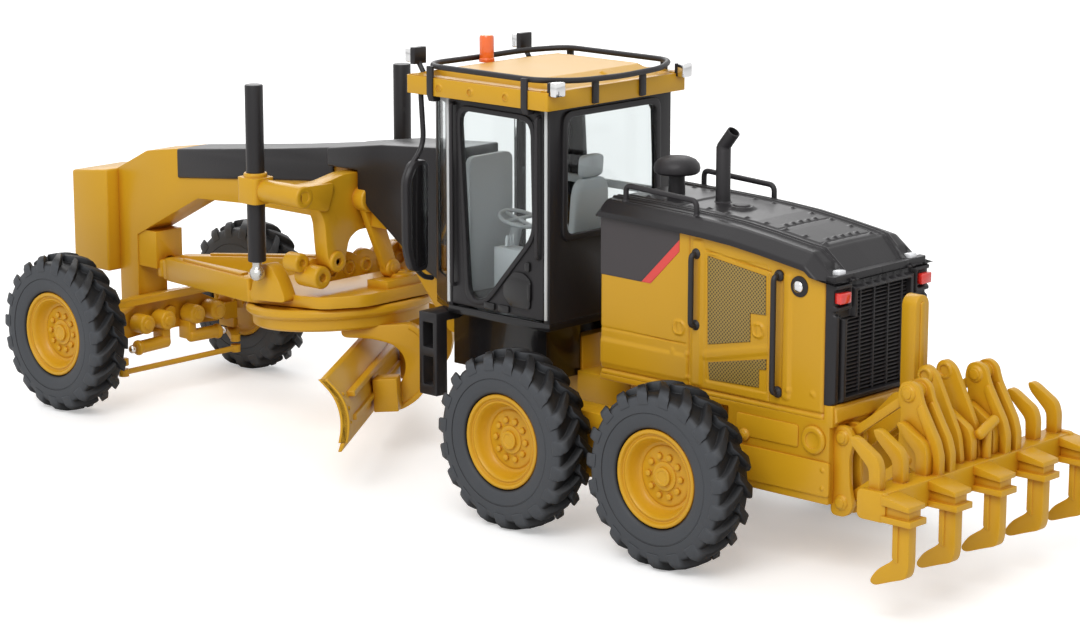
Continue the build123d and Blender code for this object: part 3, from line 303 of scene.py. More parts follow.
def rectangle(u, v, low, high, corner=0.3):
    """Signed distance to a rectangle with rounded corners."""
    middle, half = np.add(low, high) / 2, np.subtract(high, low) / 2 - corner
    across, up = np.abs(u - middle[0]) - half[0], np.abs(v - middle[1]) - half[1]
    return np.hypot(np.maximum(across, 0), np.maximum(up, 0)) + np.minimum(np.maximum(across, up), 0) - corner


def disc(u, v, centre, radius):
    """Signed distance to a circle."""
    return np.hypot(u - centre[0], v - centre[1]) - radius


def stroke(u, v, start, end, width):
    """Signed distance to a straight stroke."""
    (a, b), (c, d) = start, end
    share = np.clip(((u - a) * (c - a) + (v - b) * (d - b)) / ((c - a) ** 2 + (d - b) ** 2), 0, 1)
    return np.hypot(u - a - share * (c - a), v - b - share * (d - b)) - width / 2


def studs(u, v, centres, radius):
    """Signed distance to the nearest of several small circles."""
    return np.minimum.reduce([disc(u, v, centre, radius) for centre in centres])


def pads(u, v, rows):
    """Rectangles, raised or sunk: a row holds low and high corner, corner radius, height and softness."""
    return sum(rise * inside(rectangle(u, v, low, high, bend), soft) for low, high, bend, rise, soft in rows)


def strokes(u, v, rows):
    """Lines, raised or sunk: a row holds start, end, width, height and softness."""
    return sum(rise * inside(stroke(u, v, start, end, width), soft) for start, end, width, rise, soft in rows)


def backed(grid, axis, place):
    """A relief sheet closed into a slab: its border is carried to one value of an axis and capped."""
    points, faces = quads(grid)
    rows, columns = grid.shape[:2]
    border = np.concatenate([
        np.arange(columns), np.arange(1, rows) * columns + columns - 1,
        (rows - 1) * columns + np.arange(columns - 2, -1, -1), np.arange(rows - 2, 0, -1) * columns,
    ])
    back = points[border].copy()
    back[:, axis] = place
    ring = len(points) + np.arange(len(border))
    walls = np.stack([border, np.roll(border, -1), np.roll(ring, -1), ring], 1)
    return np.concatenate([points, back]), faces + [walls, ring[None]]


# Pieces


def soften(bm, width):
    """Round the sharp edges of a mesh in millimetres."""
    limit = math.radians(32)
    edges = [edge for edge in bm.edges if len(edge.link_faces) == 2 and edge.calc_face_angle(0) > limit]
    if edges and width:
        bmesh.ops.bevel(
            bm, geom=edges, offset=width, offset_type="OFFSET", segments=2, profile=0.5, affect="EDGES",
            clamp_overlap=True,
        )


def settle(name, bm, sharp, look, body, nodes):
    """Make a piece of a mesh in millimetres, with its finish, body and the nodes that it replaces."""
    bmesh.ops.scale(bm, vec=(MM, MM, MM), verts=bm.verts)
    mesh = bpy.data.meshes.new(name)
    bm.to_mesh(mesh)
    bm.free()
    mesh.shade_smooth()
    mesh.set_sharp_from_angle(angle=math.radians(sharp))
    mesh.materials.append(FINISHES[look])
    piece = bpy.data.objects.new(name, mesh)
    bpy.context.scene.collection.objects.link(piece)
    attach(piece, body)
    if nodes:
        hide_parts(*nodes)


def make_piece(name, part, look, body, nodes=(), edge=0.0, sharp=38):
    """A piece from arrays: doubles merged, faces outwards, sharp edges rounded."""
    points, faces = part
    mesh = bpy.data.meshes.new("drawn")
    mesh.from_pydata((points + STATION_ZERO).tolist(), [], [row for face in faces for row in face.tolist()])
    bm = bmesh.new()
    bm.from_mesh(mesh)
    bpy.data.meshes.remove(mesh)
    bmesh.ops.remove_doubles(bm, verts=bm.verts, dist=0.002)
    bmesh.ops.recalc_face_normals(bm, faces=bm.faces)
    soften(bm, edge)
    settle(name, bm, sharp, look, body, nodes)


def body_of(node):
    """The body that a CAD node rides on."""
    return frame["nodes"][node]["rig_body"]


def casting(node, look, edge=0.14, sharp=34):
    """A copy of a CAD node with merged faces and rounded edges, which stands for it."""
    bm = bmesh.new()
    bm.from_mesh(frame["nodes"][node].data)
    bmesh.ops.scale(bm, vec=(1 / MM, 1 / MM, 1 / MM), verts=bm.verts)
    bmesh.ops.remove_doubles(bm, verts=bm.verts, dist=0.002)
    bmesh.ops.dissolve_limit(bm, angle_limit=math.radians(1), verts=bm.verts, edges=bm.edges)
    soften(bm, edge)
    settle(f"cast_{node}", bm, sharp, look, body_of(node), [node])


def gear_piece(name, part, nodes=(), edge=0.3, like=None):
    """A yellow cast piece that rides on the body of the node that it replaces or is like."""
    make_piece(name, part, "yellow_enamel", body_of(like or nodes[0]), nodes, edge)


# Finishes

FINISHES = {}


def shader_group(name, inputs, outputs):
    """An empty node group with named inputs (name, default) and outputs (name, socket)."""
    group = bpy.data.node_groups.new(name, "ShaderNodeTree")
    for label, default in inputs:
        kind = "NodeSocketColor" if isinstance(default, tuple) else "NodeSocketFloat"
        group.interface.new_socket(name=label, in_out="INPUT", socket_type=kind).default_value = default
    for label, kind in outputs:
        group.interface.new_socket(name=label, in_out="OUTPUT", socket_type=kind)
    return group, group.nodes.new("NodeGroupInput").outputs, group.nodes.new("NodeGroupOutput").inputs


def node(tree, kind, links=None, **settings):
    """A shader node with settings; links join its inputs to sockets or set their values."""
    made = tree.nodes.new(kind)
    for key, value in settings.items():
        setattr(made, key, value)
    for key, value in (links or {}).items():
        if isinstance(value, bpy.types.NodeSocket):
            tree.links.new(value, made.inputs[key])
        else:
            made.inputs[key].default_value = value
    return made


def maths(tree, operation, first, second=0.0):
    """The value of a math node."""
    return node(tree, "ShaderNodeMath", {0: first, 1: second}, operation=operation).outputs[0]


def ramp(tree, value, low, high, start=0.0, end=1.0):
    """A value that runs from start to end while another runs from low to high."""
    ends = {"Value": value, "From Min": low, "From Max": high, "To Min": start, "To Max": end}
    return node(tree, "ShaderNodeMapRange", ends).outputs["Result"]


def mixed(tree, share, first, second):
    """A mix of two colours."""
    return node(tree, "ShaderNodeMix", {"Factor": share, 6: first, 7: second}, data_type="RGBA").outputs[2]


def surface_group():
    """Paint or plastic: colour that drifts, darkens in corners as painted shade and lightens on rounded edges
    as a painted highlight, uneven gloss, soft edges, fine grain.
    """
    group, given, out = shader_group(
        "moulded_surface",
        [
            ("Colour", (0.5, 0.5, 0.5, 1)), ("Painted shade colour", (0.2, 0.2, 0.2, 1)), ("Painted shade depth", 0.5),
            ("Edge light", 0.1), ("Drift", 0.1), ("Roughness", 0.4), ("Grain size", 2500.0),
            ("Grain depth", 0.05), ("Edge radius", 0.0002),
        ],
        [("Colour", "NodeSocketColor"), ("Roughness", "NodeSocketFloat"), ("Normal", "NodeSocketVector")],
    )
    place = node(group, "ShaderNodeTexCoord").outputs["Object"]
    cloud = node(group, "ShaderNodeTexNoise", {"Vector": place, "Scale": 90.0, "Detail": 3.0}).outputs["Fac"]
    fine = {"Vector": place, "Scale": given["Grain size"], "Detail": 2.0}
    grain = node(group, "ShaderNodeTexNoise", fine).outputs["Fac"]
    bevel = node(group, "ShaderNodeBevel", {"Radius": given["Edge radius"]}, samples=4).outputs["Normal"]
    # Painted shade: where ambient occlusion finds little open sky, the colour is mixed towards the painted
    # shade colour.
    open_sky = node(group, "ShaderNodeAmbientOcclusion", {"Distance": 0.0022}, samples=8).outputs["AO"]
    depth = maths(group, "MULTIPLY", ramp(group, open_sky, 0.25, 0.85, 1.0, 0.0), given["Painted shade depth"])
    corner = mixed(group, depth, given["Colour"], given["Painted shade colour"])
    facet = node(group, "ShaderNodeNewGeometry").outputs["True Normal"]
    turn = node(group, "ShaderNodeVectorMath", {0: facet, 1: bevel}, operation="DOT_PRODUCT").outputs["Value"]
    # Edge light lightens the colour on rounded edges: a painted highlight, partly also the thinner coat of
    # paint there.
    lift = maths(group, "MULTIPLY", ramp(group, turn, 0.99, 0.8), given["Edge light"])
    drift = maths(group, "MULTIPLY", maths(group, "ADD", cloud, -0.5), given["Drift"])
    level = maths(group, "ADD", maths(group, "ADD", drift, lift), 1.0)
    tint = node(group, "ShaderNodeHueSaturation", {"Value": level, "Color": corner}).outputs["Color"]
    relief = {"Height": grain, "Strength": given["Grain depth"], "Distance": 0.0001, "Normal": bevel}
    bump = node(group, "ShaderNodeBump", relief).outputs["Normal"]
    group.links.new(tint, out["Colour"])
    group.links.new(maths(group, "ADD", drift, given["Roughness"]), out["Roughness"])
    group.links.new(bump, out["Normal"])


def dots_group():
    """A screen of small round holes on a square lattice set on edge; the mask is 1 in a hole."""
    group, given, out = shader_group("pierced_screen", [("Pitch", 0.0004)], [("Hole", "NodeSocketFloat")])
    place = node(group, "ShaderNodeTexCoord").outputs["Object"]
    on_edge = {"Vector": place, "Rotation": (0, math.radians(45), 0), "Scale": (1, 0, 1)}
    lattice = node(group, "ShaderNodeMapping", on_edge).outputs[0]
    cell = {"Vector": lattice, "Scale": maths(group, "DIVIDE", 1.0, given["Pitch"]), "Randomness": 0.0}
    distance = node(group, "ShaderNodeTexVoronoi", cell).outputs["Distance"]
    group.links.new(ramp(group, distance, 0.42, 0.3), out["Hole"])


def new_finish(name, **shader):
    """A material with its own Principled BSDF, whose sockets take the given values."""
    material = bpy.data.materials.new(name)
    material.use_nodes = True
    tree = material.node_tree
    bsdf = tree.nodes["Principled BSDF"]
    for key, value in shader.items():
        bsdf.inputs[key.replace("_", " ")].default_value = value
    FINISHES[name] = material
    return tree, bsdf


def painted(name, colour, corner, values, **shader):
    """A finish that reads the moulded surface group with its own values."""
    tree, bsdf = new_finish(name, **shader)
    # corner is the painted shade colour that the surface group mixes in where corners are enclosed.
    given = {"Colour": (*colour, 1), "Painted shade colour": (*corner, 1), **values}
    surface = node(tree, "ShaderNodeGroup")
    surface.node_tree = bpy.data.node_groups["moulded_surface"]
    for key, value in given.items():
        surface.inputs[key].default_value = value
    for output, socket in (("Colour", "Base Color"), ("Roughness", "Roughness"), ("Normal", "Normal")):
        tree.links.new(surface.outputs[output], bsdf.inputs[socket])
    return tree, bsdf, surface


def make_finishes(looks):
    """Every finish of the model."""
    surface_group()
    dots_group()
    # The second colour of each pair is the painted shade that darkens enclosed corners.
    yellow, painted_shade_yellow = tuple(looks.yellow), tuple(looks.yellow_painted_shade)
    black, painted_shade_black = tuple(looks.black), (0.004, 0.004, 0.004)
    enamel = {
        "Painted shade depth": 0.75, "Edge light": 0.18, "Drift": 0.08, "Roughness": looks.gloss,
        "Grain depth": 0.12,
    }
    pebbled = {**enamel, "Grain size": 900.0, "Grain depth": 1.0}
    thin_coat = {"Coat_Weight": 0.06, "Coat_Roughness": 0.12, "Specular_IOR_Level": 0.32}
    painted("yellow_enamel", yellow, painted_shade_yellow, enamel, **thin_coat)
    painted("yellow_tread", yellow, painted_shade_yellow, pebbled, Coat_Weight=0.3, Coat_Roughness=0.2)
    satin = {"Painted shade depth": 0.5, "Edge light": 0.6, "Drift": 0.2, "Roughness": 0.33, "Grain depth": 0.1}
    matte = {**satin, "Roughness": 0.45, "Grain depth": 0.3}
    gloss = {**satin, "Roughness": 0.2}
    dull = {"Specular_IOR_Level": 0.3}
    painted("black_satin", black, painted_shade_black, satin, **dull)
    painted("black_matte", tuple(c * 1.3 for c in black), painted_shade_black, matte, **dull)
    painted("black_gloss", tuple(c * 0.5 for c in black), painted_shade_black, gloss, Coat_Weight=0.3, **dull)
    printed = {**satin, "Edge light": 0.0, "Roughness": 0.42}
    painted("panel_grey", (0.06, 0.053, 0.055), (0.04, 0.036, 0.036), printed, **dull)
    painted("stripe_red", (0.72, 0.065, 0.055), (0.5, 0.04, 0.03), {**printed, "Roughness": 0.4})
    # name, colour, painted shade colour in corners, roughness, other values of the surface, values of the
    # shader
    rows = [
        ("seat_grey", (0.56, 0.59, 0.61), (0.36, 0.38, 0.4), 0.5, {"Painted shade depth": 0.4}, {}),
        ("steel_bright", (0.62, 0.61, 0.58), (0.3, 0.29, 0.27), 0.25, {}, {"Metallic": 0.9}),
        ("chrome_plate", (0.8, 0.8, 0.8), (0.4, 0.4, 0.4), 0.12, {"Grain depth": 0.0}, {"Metallic": 1.0}),
        ("lamp_white", (0.85, 0.86, 0.88), (0.5, 0.5, 0.5), 0.2, {}, {"Coat_Weight": 0.6}),
        ("lens_red", (0.75, 0.03, 0.02), (0.4, 0.01, 0.01), 0.2, {}, {"Coat_Weight": 0.8}),
        ("lens_orange", (0.95, 0.16, 0.01), (0.6, 0.06, 0.0), 0.18, {}, {"Coat_Weight": 0.8}),
    ]
    for name, colour, corner, rough, values, shader in rows:
        painted(name, colour, corner, {**enamel, "Roughness": rough, **values}, **shader)
    screen = {**enamel, "Roughness": 0.45, "Edge light": 0.0}
    tree, bsdf, surface = painted("screen_olive", (0.36, 0.24, 0.05), (0.2, 0.12, 0.03), screen)
    dots = node(tree, "ShaderNodeGroup")
    dots.node_tree = bpy.data.node_groups["pierced_screen"]
    dots.inputs["Pitch"].default_value = 0.00042
    # The holes take a dark colour: painted shade for the dark seen through the screen.
    holes = mixed(tree, dots.outputs["Hole"], surface.outputs["Colour"], (0.07, 0.045, 0.015, 1))
    tree.links.new(holes, bsdf.inputs["Base Color"])
    rubber_finish(looks)
    pane, edge = (0.93, 0.96, 0.96, 1), (0.86, 0.88, 0.88, 1)
    new_finish("clear_pane", Base_Color=pane, Roughness=0.03, Transmission_Weight=1.0, IOR=1.3)
    new_finish(
        "clear_edge", Base_Color=edge, Roughness=0.08, Transmission_Weight=0.35, IOR=1.45, Coat_Weight=0.6,
    )


def rubber_finish(looks):
    """Tyre rubber: paler sidewalls and a darker tread, chosen by the face's direction on the tyre."""
    rubber_surface = {
        "Painted shade depth": 0.85, "Edge light": 0.35, "Drift": 0.25, "Roughness": 0.55, "Grain depth": 0.25,
        "Grain size": 1800.0,
    }
    # The last colour is the painted shade that darkens enclosed corners of the rubber.
    tread, sidewall, painted_shade_black = (*looks.tread, 1), (*looks.sidewall, 1), (0.003, 0.003, 0.003)
    tree, bsdf, surface = painted("tyre_rubber", tread[:3], painted_shade_black, rubber_surface, Specular_IOR_Level=0.3)
    facing = node(tree, "ShaderNodeTexCoord").outputs["Normal"]
    across = node(tree, "ShaderNodeSeparateXYZ", {0: facing}).outputs["Y"]
    # Faces that point along the axle take the paler sidewall colour, and the rest take the tread colour.
    wall = ramp(tree, maths(tree, "ABSOLUTE", across), 0.55, 0.85)
    tree.links.new(mixed(tree, wall, tread, sidewall), surface.inputs["Colour"])


# Wheels

WHEELS = ("front_left", "front_right", "mid_left", "mid_right", "rear_left", "rear_right")
TYRE_RADIUS = 13.7
BOLTS = 10
BOLT_CIRCLE = 3.05


def wheel_place(name):
    """Middle of a wheel, which side it is on, its radius and how far its stub reaches in."""
    low, high = (np.array(corner) / MM - STATION_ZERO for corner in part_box(f"tyre_{name}"))
    side = 1 if name.endswith("left") else -1
    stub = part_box(f"rim_{name}")[0 if side > 0 else 1][1] / MM * side
    middle = (low + high) / 2
    return middle, side, (high[2] - low[2]) / 2, stub - middle[1] * side


def tyre_lugs(middle, radius, count):
    """Lugs run from the crown to the sidewall, lagging behind: a section is six points about its angle."""
    run = np.array([
        # out, top radius, base radius, lag in degrees, half width
        (-0.25, 0.0, -1.6, -1.0, 0.62), (0.8, 0.0, -1.6, 3.6, 0.78), (1.9, -0.06, -1.7, 8.6, 0.9),
        (2.8, -0.32, -1.9, 11.8, 0.98), (3.35, -0.95, -2.3, 13.2, 0.98), (3.58, -1.7, -2.6, 13.8, 0.9),
        (3.62, -2.3, -2.7, 14.0, 0.7),
    ])
    out, top, base, lag, half = run.T
    top, base = radius + top, radius + base
    shoulder = top - np.minimum(0.22, (top - base) / 3)
    radii = np.stack([base, shoulder, top, top, shoulder, base], 1)
    widths = np.stack([-half * 1.15, -half, -half + 0.2, half - 0.2, half, half * 1.15], 1)
    parts = []
    # The lugs of one side stand half a pitch after those of the other
    for hand, start in ((1, 0.25), (-1, 0.75)):
        first = (np.arange(count) + start) * 2 * np.pi / count
        angle = first[:, None, None] - np.radians(lag)[None, :, None] + (widths / radii)[None]
        across = np.broadcast_to(hand * out[:, None], angle.shape)
        points = middle + np.stack([radii * np.sin(angle), across, radii * np.cos(angle)], -1)
        faces = capped(quads(points[0], False, True), 6)[1]
        parts.append(copies(points.reshape(count, -1, 3), faces))
    return join(*parts)


def tyre_carcass(middle, side, radius):
    """A tyre's section turned about the wheel's axle: bead, bulged wall with a moulded ring, and crown."""
    half = np.array([
        (7.36, 2.7), (7.5, 3.05), (7.9, 3.3), (8.4, 3.42), (9.0, 3.52), (9.55, 3.57), (9.62, 3.5),
        (9.72, 3.5), (9.8, 3.6), (10.6, 3.6), (11.3, 3.52), (11.9, 3.3), (12.3, 2.95), (12.45, 2.4),
        (12.5, 1.2),
    ])
    half[:, 0] += radius - TYRE_RADIUS
    return turned(np.concatenate([half, half[::-1] * (1, -1)]), middle, (0, side, 0), 96, True)


def wheel_rim(middle, side, stub):
    """Rim section turned about the axle: rolled lip, stepped wall, deep dish, raised disc, cap and bolts."""
    hub = 1.5 if stub < -5 else 1.0
    profile = [
        (0, stub), (hub, stub), (hub, -1.9), (5.9, -1.9), (6.3, -2.2), (6.6, -2.85), (7.0, -2.95),
        (7.3, -2.8), (7.3, 2.75), (7.22, 2.95), (7.0, 3.06), (6.72, 3.0), (6.6, 2.8), (6.5, 2.55),
        (6.3, 2.5), (6.16, 2.62), (5.98, 2.66), (5.82, 2.5), (5.6, 1.9), (5.3, 0.95), (5.0, 0.62),
        (4.6, 0.5), (4.45, 0.62), (4.2, 0.7), (2.35, 0.7), (2.2, 0.78), (2.15, 0.95), (1.5, 0.98),
        (1.42, 1.1), (1.4, 1.42), (1.3, 1.5), (0.95, 1.5), (0.85, 1.4), (0, 1.4),
    ]
    dish = turned(profile, middle, (0, side, 0), 96)
    angle = circle(BOLTS)
    places = middle + BOLT_CIRCLE * np.stack([np.cos(angle), 0 * angle, np.sin(angle)], 1)
    head = [(0, 0.6), (0.5, 0.6), (0.5, 1.0), (0.42, 1.12), (0.2, 1.18), (0, 1.18)]
    return join(dish, repeat(turned(head, (0, 0, 0), (0, side, 0), 14), places))


def make_wheels(tread):
    """Six lugged tyres on dished rims."""
    for name in WHEELS:
        middle, side, radius, stub = wheel_place(name)
        rubber = join(tyre_carcass(middle, side, radius), tyre_lugs(middle, radius, tread.lug_count))
        dish = wheel_rim(middle, side, stub)
        body = f"wheel_{name}"
        make_piece(f"rubber_{name}", rubber, "tyre_rubber", body, [f"tyre_{name}"], sharp=48)
        make_piece(f"dish_{name}", dish, "yellow_enamel", body, [f"rim_{name}"], sharp=30)


# Hood: places are (station, z) on its sides and (station, y) on its lid

HOOD_LINE = np.array([
    (-36.8, 43.75), (-34.8, 43.97), (-30.0, 44.75), (-24.0, 45.65), (-18.0, 46.4), (-12.4, 46.8),
    (-8.0, 47.0), (0.0, 47.25), (7.6, 47.4),
])
HOOD_HALF, HOOD_BACK = 11.0, 9.9
LID_RISE = 2.2
SCREENS = [
    [(-13.3, 44.1), (-24.1, 42.6), (-24.2, 36.9), (-21.35, 36.8), (-21.4, 32.6), (-13.5, 31.0)],
    [(-13.6, 28.3), (-24.4, 30.5), (-24.4, 28.9), (-23.1, 28.8), (-23.1, 26.1), (-13.9, 25.8)],
]
STRIPE_TOP, STRIPE_FOOT = (-8.0, 45.75), (-0.7, 38.5)
KNOB = (-30.3, 42.0)
FILLER = (-11.6, 1.2)


def hood_line(station):
    """Height of the line between the yellow sides and the black lid."""
    return np.interp(station, *HOOD_LINE.T)


def hood_side_relief(x, z):
    """Shallow forms of a hood side: door ribs, seams, screens set in, a lower panel, latches and bolts."""
    h = pads(x, z, [
        ((-12.45, 24.6), (-10.55, 46.2), 0.5, 0.28, 0.4), ((-28.8, 25.2), (-27.5, 43.6), 0.5, 0.28, 0.4),
        ((-24.6, 25.5), (-13.2, 44.3), 0.3, -0.15, 0.15), ((-9.9, 24.9), (9.0, 28.7), 0.9, 0.22, 0.5),
    ])
    h += strokes(x, z, [
        ((-25.0, 43.6), (-25.0, 24.4), 0.22, -0.2, 0.15), ((-12.9, 44.9), (-24.9, 43.3), 0.22, -0.2, 0.15),
        ((-9.9, 46.7), (-9.9, 24.0), 0.2, -0.2, 0.15), ((-13.2, 29.3), (-24.6, 31.9), 1.2, 0.15, 0.5),
        ((7.5, 30.4), (-9.4, 30.4), 0.18, -0.18, 0.15), ((-35.2, 24.1), (7.6, 24.1), 0.3, -0.35, 0.3),
    ])
    for s, t in ((-8.07, 32.7), (-22.8, 34.5)):
        h += 0.3 * inside(disc(x, z, (s, t), 1.15), 0.25) - 0.22 * inside(disc(x, z, (s, t), 0.85), 0.25)
        h += strokes(x, z, [((s, t - 0.7), (s, t + 0.7), 0.5, 0.2, 0.25)])
    bolts = [(-28.7, 26.7), (-33.0, 26.8), (-9.6, 28.9), (-9.9, 25.4), (-6.9, 29.0)]
    return h + 0.2 * inside(studs(x, z, bolts, 0.35), 0.4)


def hood_side(grain):
    """A sheet over station and height, pushed out by its relief, whose top follows the hood line."""
    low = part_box("hood_body")[0][2] / MM
    u = np.linspace(-35.0, 7.5, grain.steps)[:, None]
    v = np.linspace(0, 1, grain.steps * 5 // 9)[None, :]
    top = hood_line(u) - 0.8 * np.clip((-32.8 - u) / 1.4, 0, 1)
    z = low + v * (top - low)
    x = np.broadcast_to(u, z.shape)
    out = HOOD_HALF + hood_side_relief(x, z)
    out -= 0.45 * np.clip((-34.3 - x) / 0.7, 0, 1) ** 2 + 0.3 * np.clip((x - 7.0) / 0.5, 0, 1) ** 2
    return backed(np.stack([x, out, z], -1), 1, HOOD_BACK)


def make_hood_sides(grain):
    """Yellow sides with their screens, the bare dark panel, its red stripe and the knobs."""
    wall = box((6.4, 7.45), (-10, 10), (23.4, 47.2))
    skin = join(both(hood_side(grain)), wall)
    make_piece("hood_yellow", skin, "yellow_enamel", "rear", ["hood_body"])
    top = [(x, hood_line(x) - 0.02) for x in (7.35, STRIPE_TOP[0])]
    panel = prism([(7.35, 38.6), *top, STRIPE_TOP, STRIPE_FOOT], 10.9, 11.05)
    stripe = prism([STRIPE_FOOT, STRIPE_TOP, (-8.0, 44.0), (-2.5, 38.5)], 10.9, 11.06)
    knob = [(0, 10.95), (0.85, 10.95), (0.85, 11.45), (0.65, 11.63), (0, 11.7)]
    seat = [(0, 10.9), (1.55, 10.9), (1.5, 11.15), (1.2, 11.22), (0, 11.2)]
    place = (KNOB[0], 0, KNOB[1])
    screens = [prism(outline, 10.5, 10.95) for outline in SCREENS]
    # name, parts, finish, slot
    rows = [
        ("hood_screens", screens, "screen_olive", "yellow_paint"),
        ("hood_panels", [panel], "panel_grey", "black_paint"),
        ("hood_stripes", [stripe], "stripe_red", "yellow_paint"),
        ("hood_knobs", [turned(knob, place, LEFT, 28)], "chrome_plate", "black_plastic"),
        ("hood_knob_seats", [turned(seat, place, LEFT, 32)], "black_satin", "black_paint"),
    ]
    for name, parts, look, slot in rows:
        make_piece(name, both(*parts), look, "rear")


def lid_relief(x, y):
    """Forms of the lid: twin ridges, two plates with rivets, a filler seat, vents and pockets for lamps."""
    near = np.abs(y)
    draw = np.clip((-29.5 - x) / 6.0, 0, 1)
    h = pads(x, near, [
        ((-31.2, -5), (-5.0, 5.9), 0.4, 0.22, 0.3), ((-3.6, -5), (6.6, 5.9), 0.4, 0.22, 0.3),
        ((-9.5, 8.9), (4.0, 9.3), 0.1, -0.25, 0.15), ((-36.4, 7.4), (-33.6, 9.6), 0.3, -0.6, 0.3),
    ])
    for ridge in (8.1, 7.2):
        h += 0.3 * inside(np.abs(near + draw - ridge) - 0.22, 0.25)
    for seam in (-22.4, -30.0):
        h -= 0.14 * inside(np.abs(x - seam) - 0.12, 0.2) * inside(near - 5.8)
    rivets = [(s, 5.3) for s in (-8.8, -12.4, -16.0, -19.6, -23.2, -26.8, -30.4, -0.5, 3.0)]
    rivets += [(s, k) for s in (-21.7, -29.3) for k in (0, 1.7, 3.4)]
    h += 0.26 * inside(studs(x, near, rivets, 0.3), 0.3)
    return h + 0.4 * inside(disc(x, y, FILLER, 1.9), 0.35) - 0.2 * inside(disc(x, y, FILLER, 1.3), 0.25)


def make_hood_lid(grain):
    """A black lid: a crowned section carried back along the hood line, with a sloping rear end."""
    u = np.linspace(-36.9, 7.7, grain.steps)[:, None]
    half = [(11.85, 0.0), (11.85, 0.55), (11.7, 0.8), (9.9, 2.22), (9.5, 2.4), (9.0, 2.46)]
    section = np.array([(-y, z) for y, z in half] + [(0.0, 2.56)] + half[::-1])
    walk = np.concatenate([[0], np.cumsum(np.linalg.norm(np.diff(section, axis=0), axis=1))])
    spread = np.unique(np.concatenate([np.linspace(0, walk[-1], grain.steps * 5 // 8), walk]))
    y, rise = (np.interp(spread, walk, section[:, k])[None, :] for k in (0, 1))
    slope = np.clip((-31.6 - u) / 5.2, 0, 1)
    drop = slope * (3.2 + 0.9 * inside(np.abs(y) - 6.9, 0.8))
    z = hood_line(u) + rise - np.minimum(drop, rise + 0.6)
    z += np.where(rise > 0.9, lid_relief(np.broadcast_to(u, z.shape), np.broadcast_to(y, z.shape)), 0)
    z -= 0.5 * np.clip((u - 7.2) / 0.5, 0, 1) ** 2 * (rise > 0.5)
    grid = np.stack(np.broadcast_arrays(u, y, z), -1)
    rows, columns = grid.shape[:2]
    points, faces = capped(quads(grid), columns)
    near, far = np.arange(rows) * columns, np.arange(rows) * columns + columns - 1
    under = np.stack([near[:-1], near[1:], far[1:], far[:-1]], 1)
    lid = (points, faces + [under])
    make_piece("hood_lid_skin", lid, "black_satin", "rear", ["hood_lid"])
    cap = [(0, 0), (1.35, 0), (1.35, 0.35), (1.15, 0.6), (0.6, 0.68), (0, 0.7)]
    cap = turned(cap, (*FILLER, hood_line(FILLER[0]) + 2.7), steps=32)
    make_piece("filler_cap", cap, "black_matte", "rear")
    lamp = box((-35.9, -34.6), (7.6, 9.2), (43.2, 44.7))
    make_piece("rear_work_lamps", both(lamp), "lamp_white", "rear", edge=0.2)


def surround_relief(y, z):
    """Forms of the rear surround: outer rim, stepped inner frame round the grille, and hollow lamp boxes."""
    near = np.abs(y)
    grille = np.maximum(near - np.where(z > 38.0, 6.2, 8.5), np.maximum(26.7 - z, z - 41.5))
    h = 0.75 * inside(grille - 0.8, 0.3) - 1.35 * inside(grille, 0.2)
    h += pads(near, z, [
        ((9.9, 25.8), (10.9, 38.6), 0.3, 0.45, 0.3), ((9.35, 26.4), (9.75, 38.4), 0.1, -0.3, 0.2),
        ((7.5, 39.2), (11.1, 43.0), 0.4, 0.7, 0.3), ((8.0, 39.9), (10.9, 42.3), 0.2, -0.6, 0.2),
    ])
    h += pads(near, z, [((0, 41.9), (6.4, 44.3), 0.2, 0.3, 0.5)]) * np.clip((44.3 - z) / 2, 0, 1)
    return h + 0.25 * inside(studs(near, z, [(0.9, 42.5), (2.7, 42.5), (4.5, 42.5)], 0.28), 0.3)


def make_grille(grain):
    """Black surround, a dark core with slats and uprights, and the red tail lamps."""
    y = np.linspace(-HOOD_HALF, HOOD_HALF, grain.steps * 2 // 3)[:, None]
    z = np.linspace(25.6, 44.1, grain.steps * 5 // 9)[None, :]
    y, z = np.broadcast_arrays(y, z)
    back = -36.3 - surround_relief(y, z) + 0.5 * np.clip((np.abs(y) - 10.6) / 0.4, 0, 1) ** 2
    skin = backed(np.stack([back, y, z], -1), 0, -35.0)
    make_piece("surround_skin", skin, "black_satin", "rear", ["hood_surround", "grille"])
    heights, parts = 27.1 + np.arange(26) * 0.56, []
    narrow = heights >= 37.8
    for half, rows in ((8.5, heights[~narrow]), (6.2, heights[narrow])):
        slat = prism([(-36.35, -0.15), (-35.9, 0.1), (-35.9, 0.25), (-36.35, 0.0)], -half, half)
        parts.append(repeat(slat, np.outer(rows, UP)))
    parts += [box((-36.5, -35.9), (k - 0.13, k + 0.13), (26.7, 41.5)) for k in (-4.9, -1.65, 1.65, 4.9)]
    make_piece("grille_slats", join(*parts), "black_matte", "rear")
    lamp = box((-37.5, -36.2), (8.3, 10.7), (40.3, 41.9))
    make_piece("tail_lamp_lenses", both(lamp), "lens_red", "rear", ["tail_lamps"], edge=0.2)


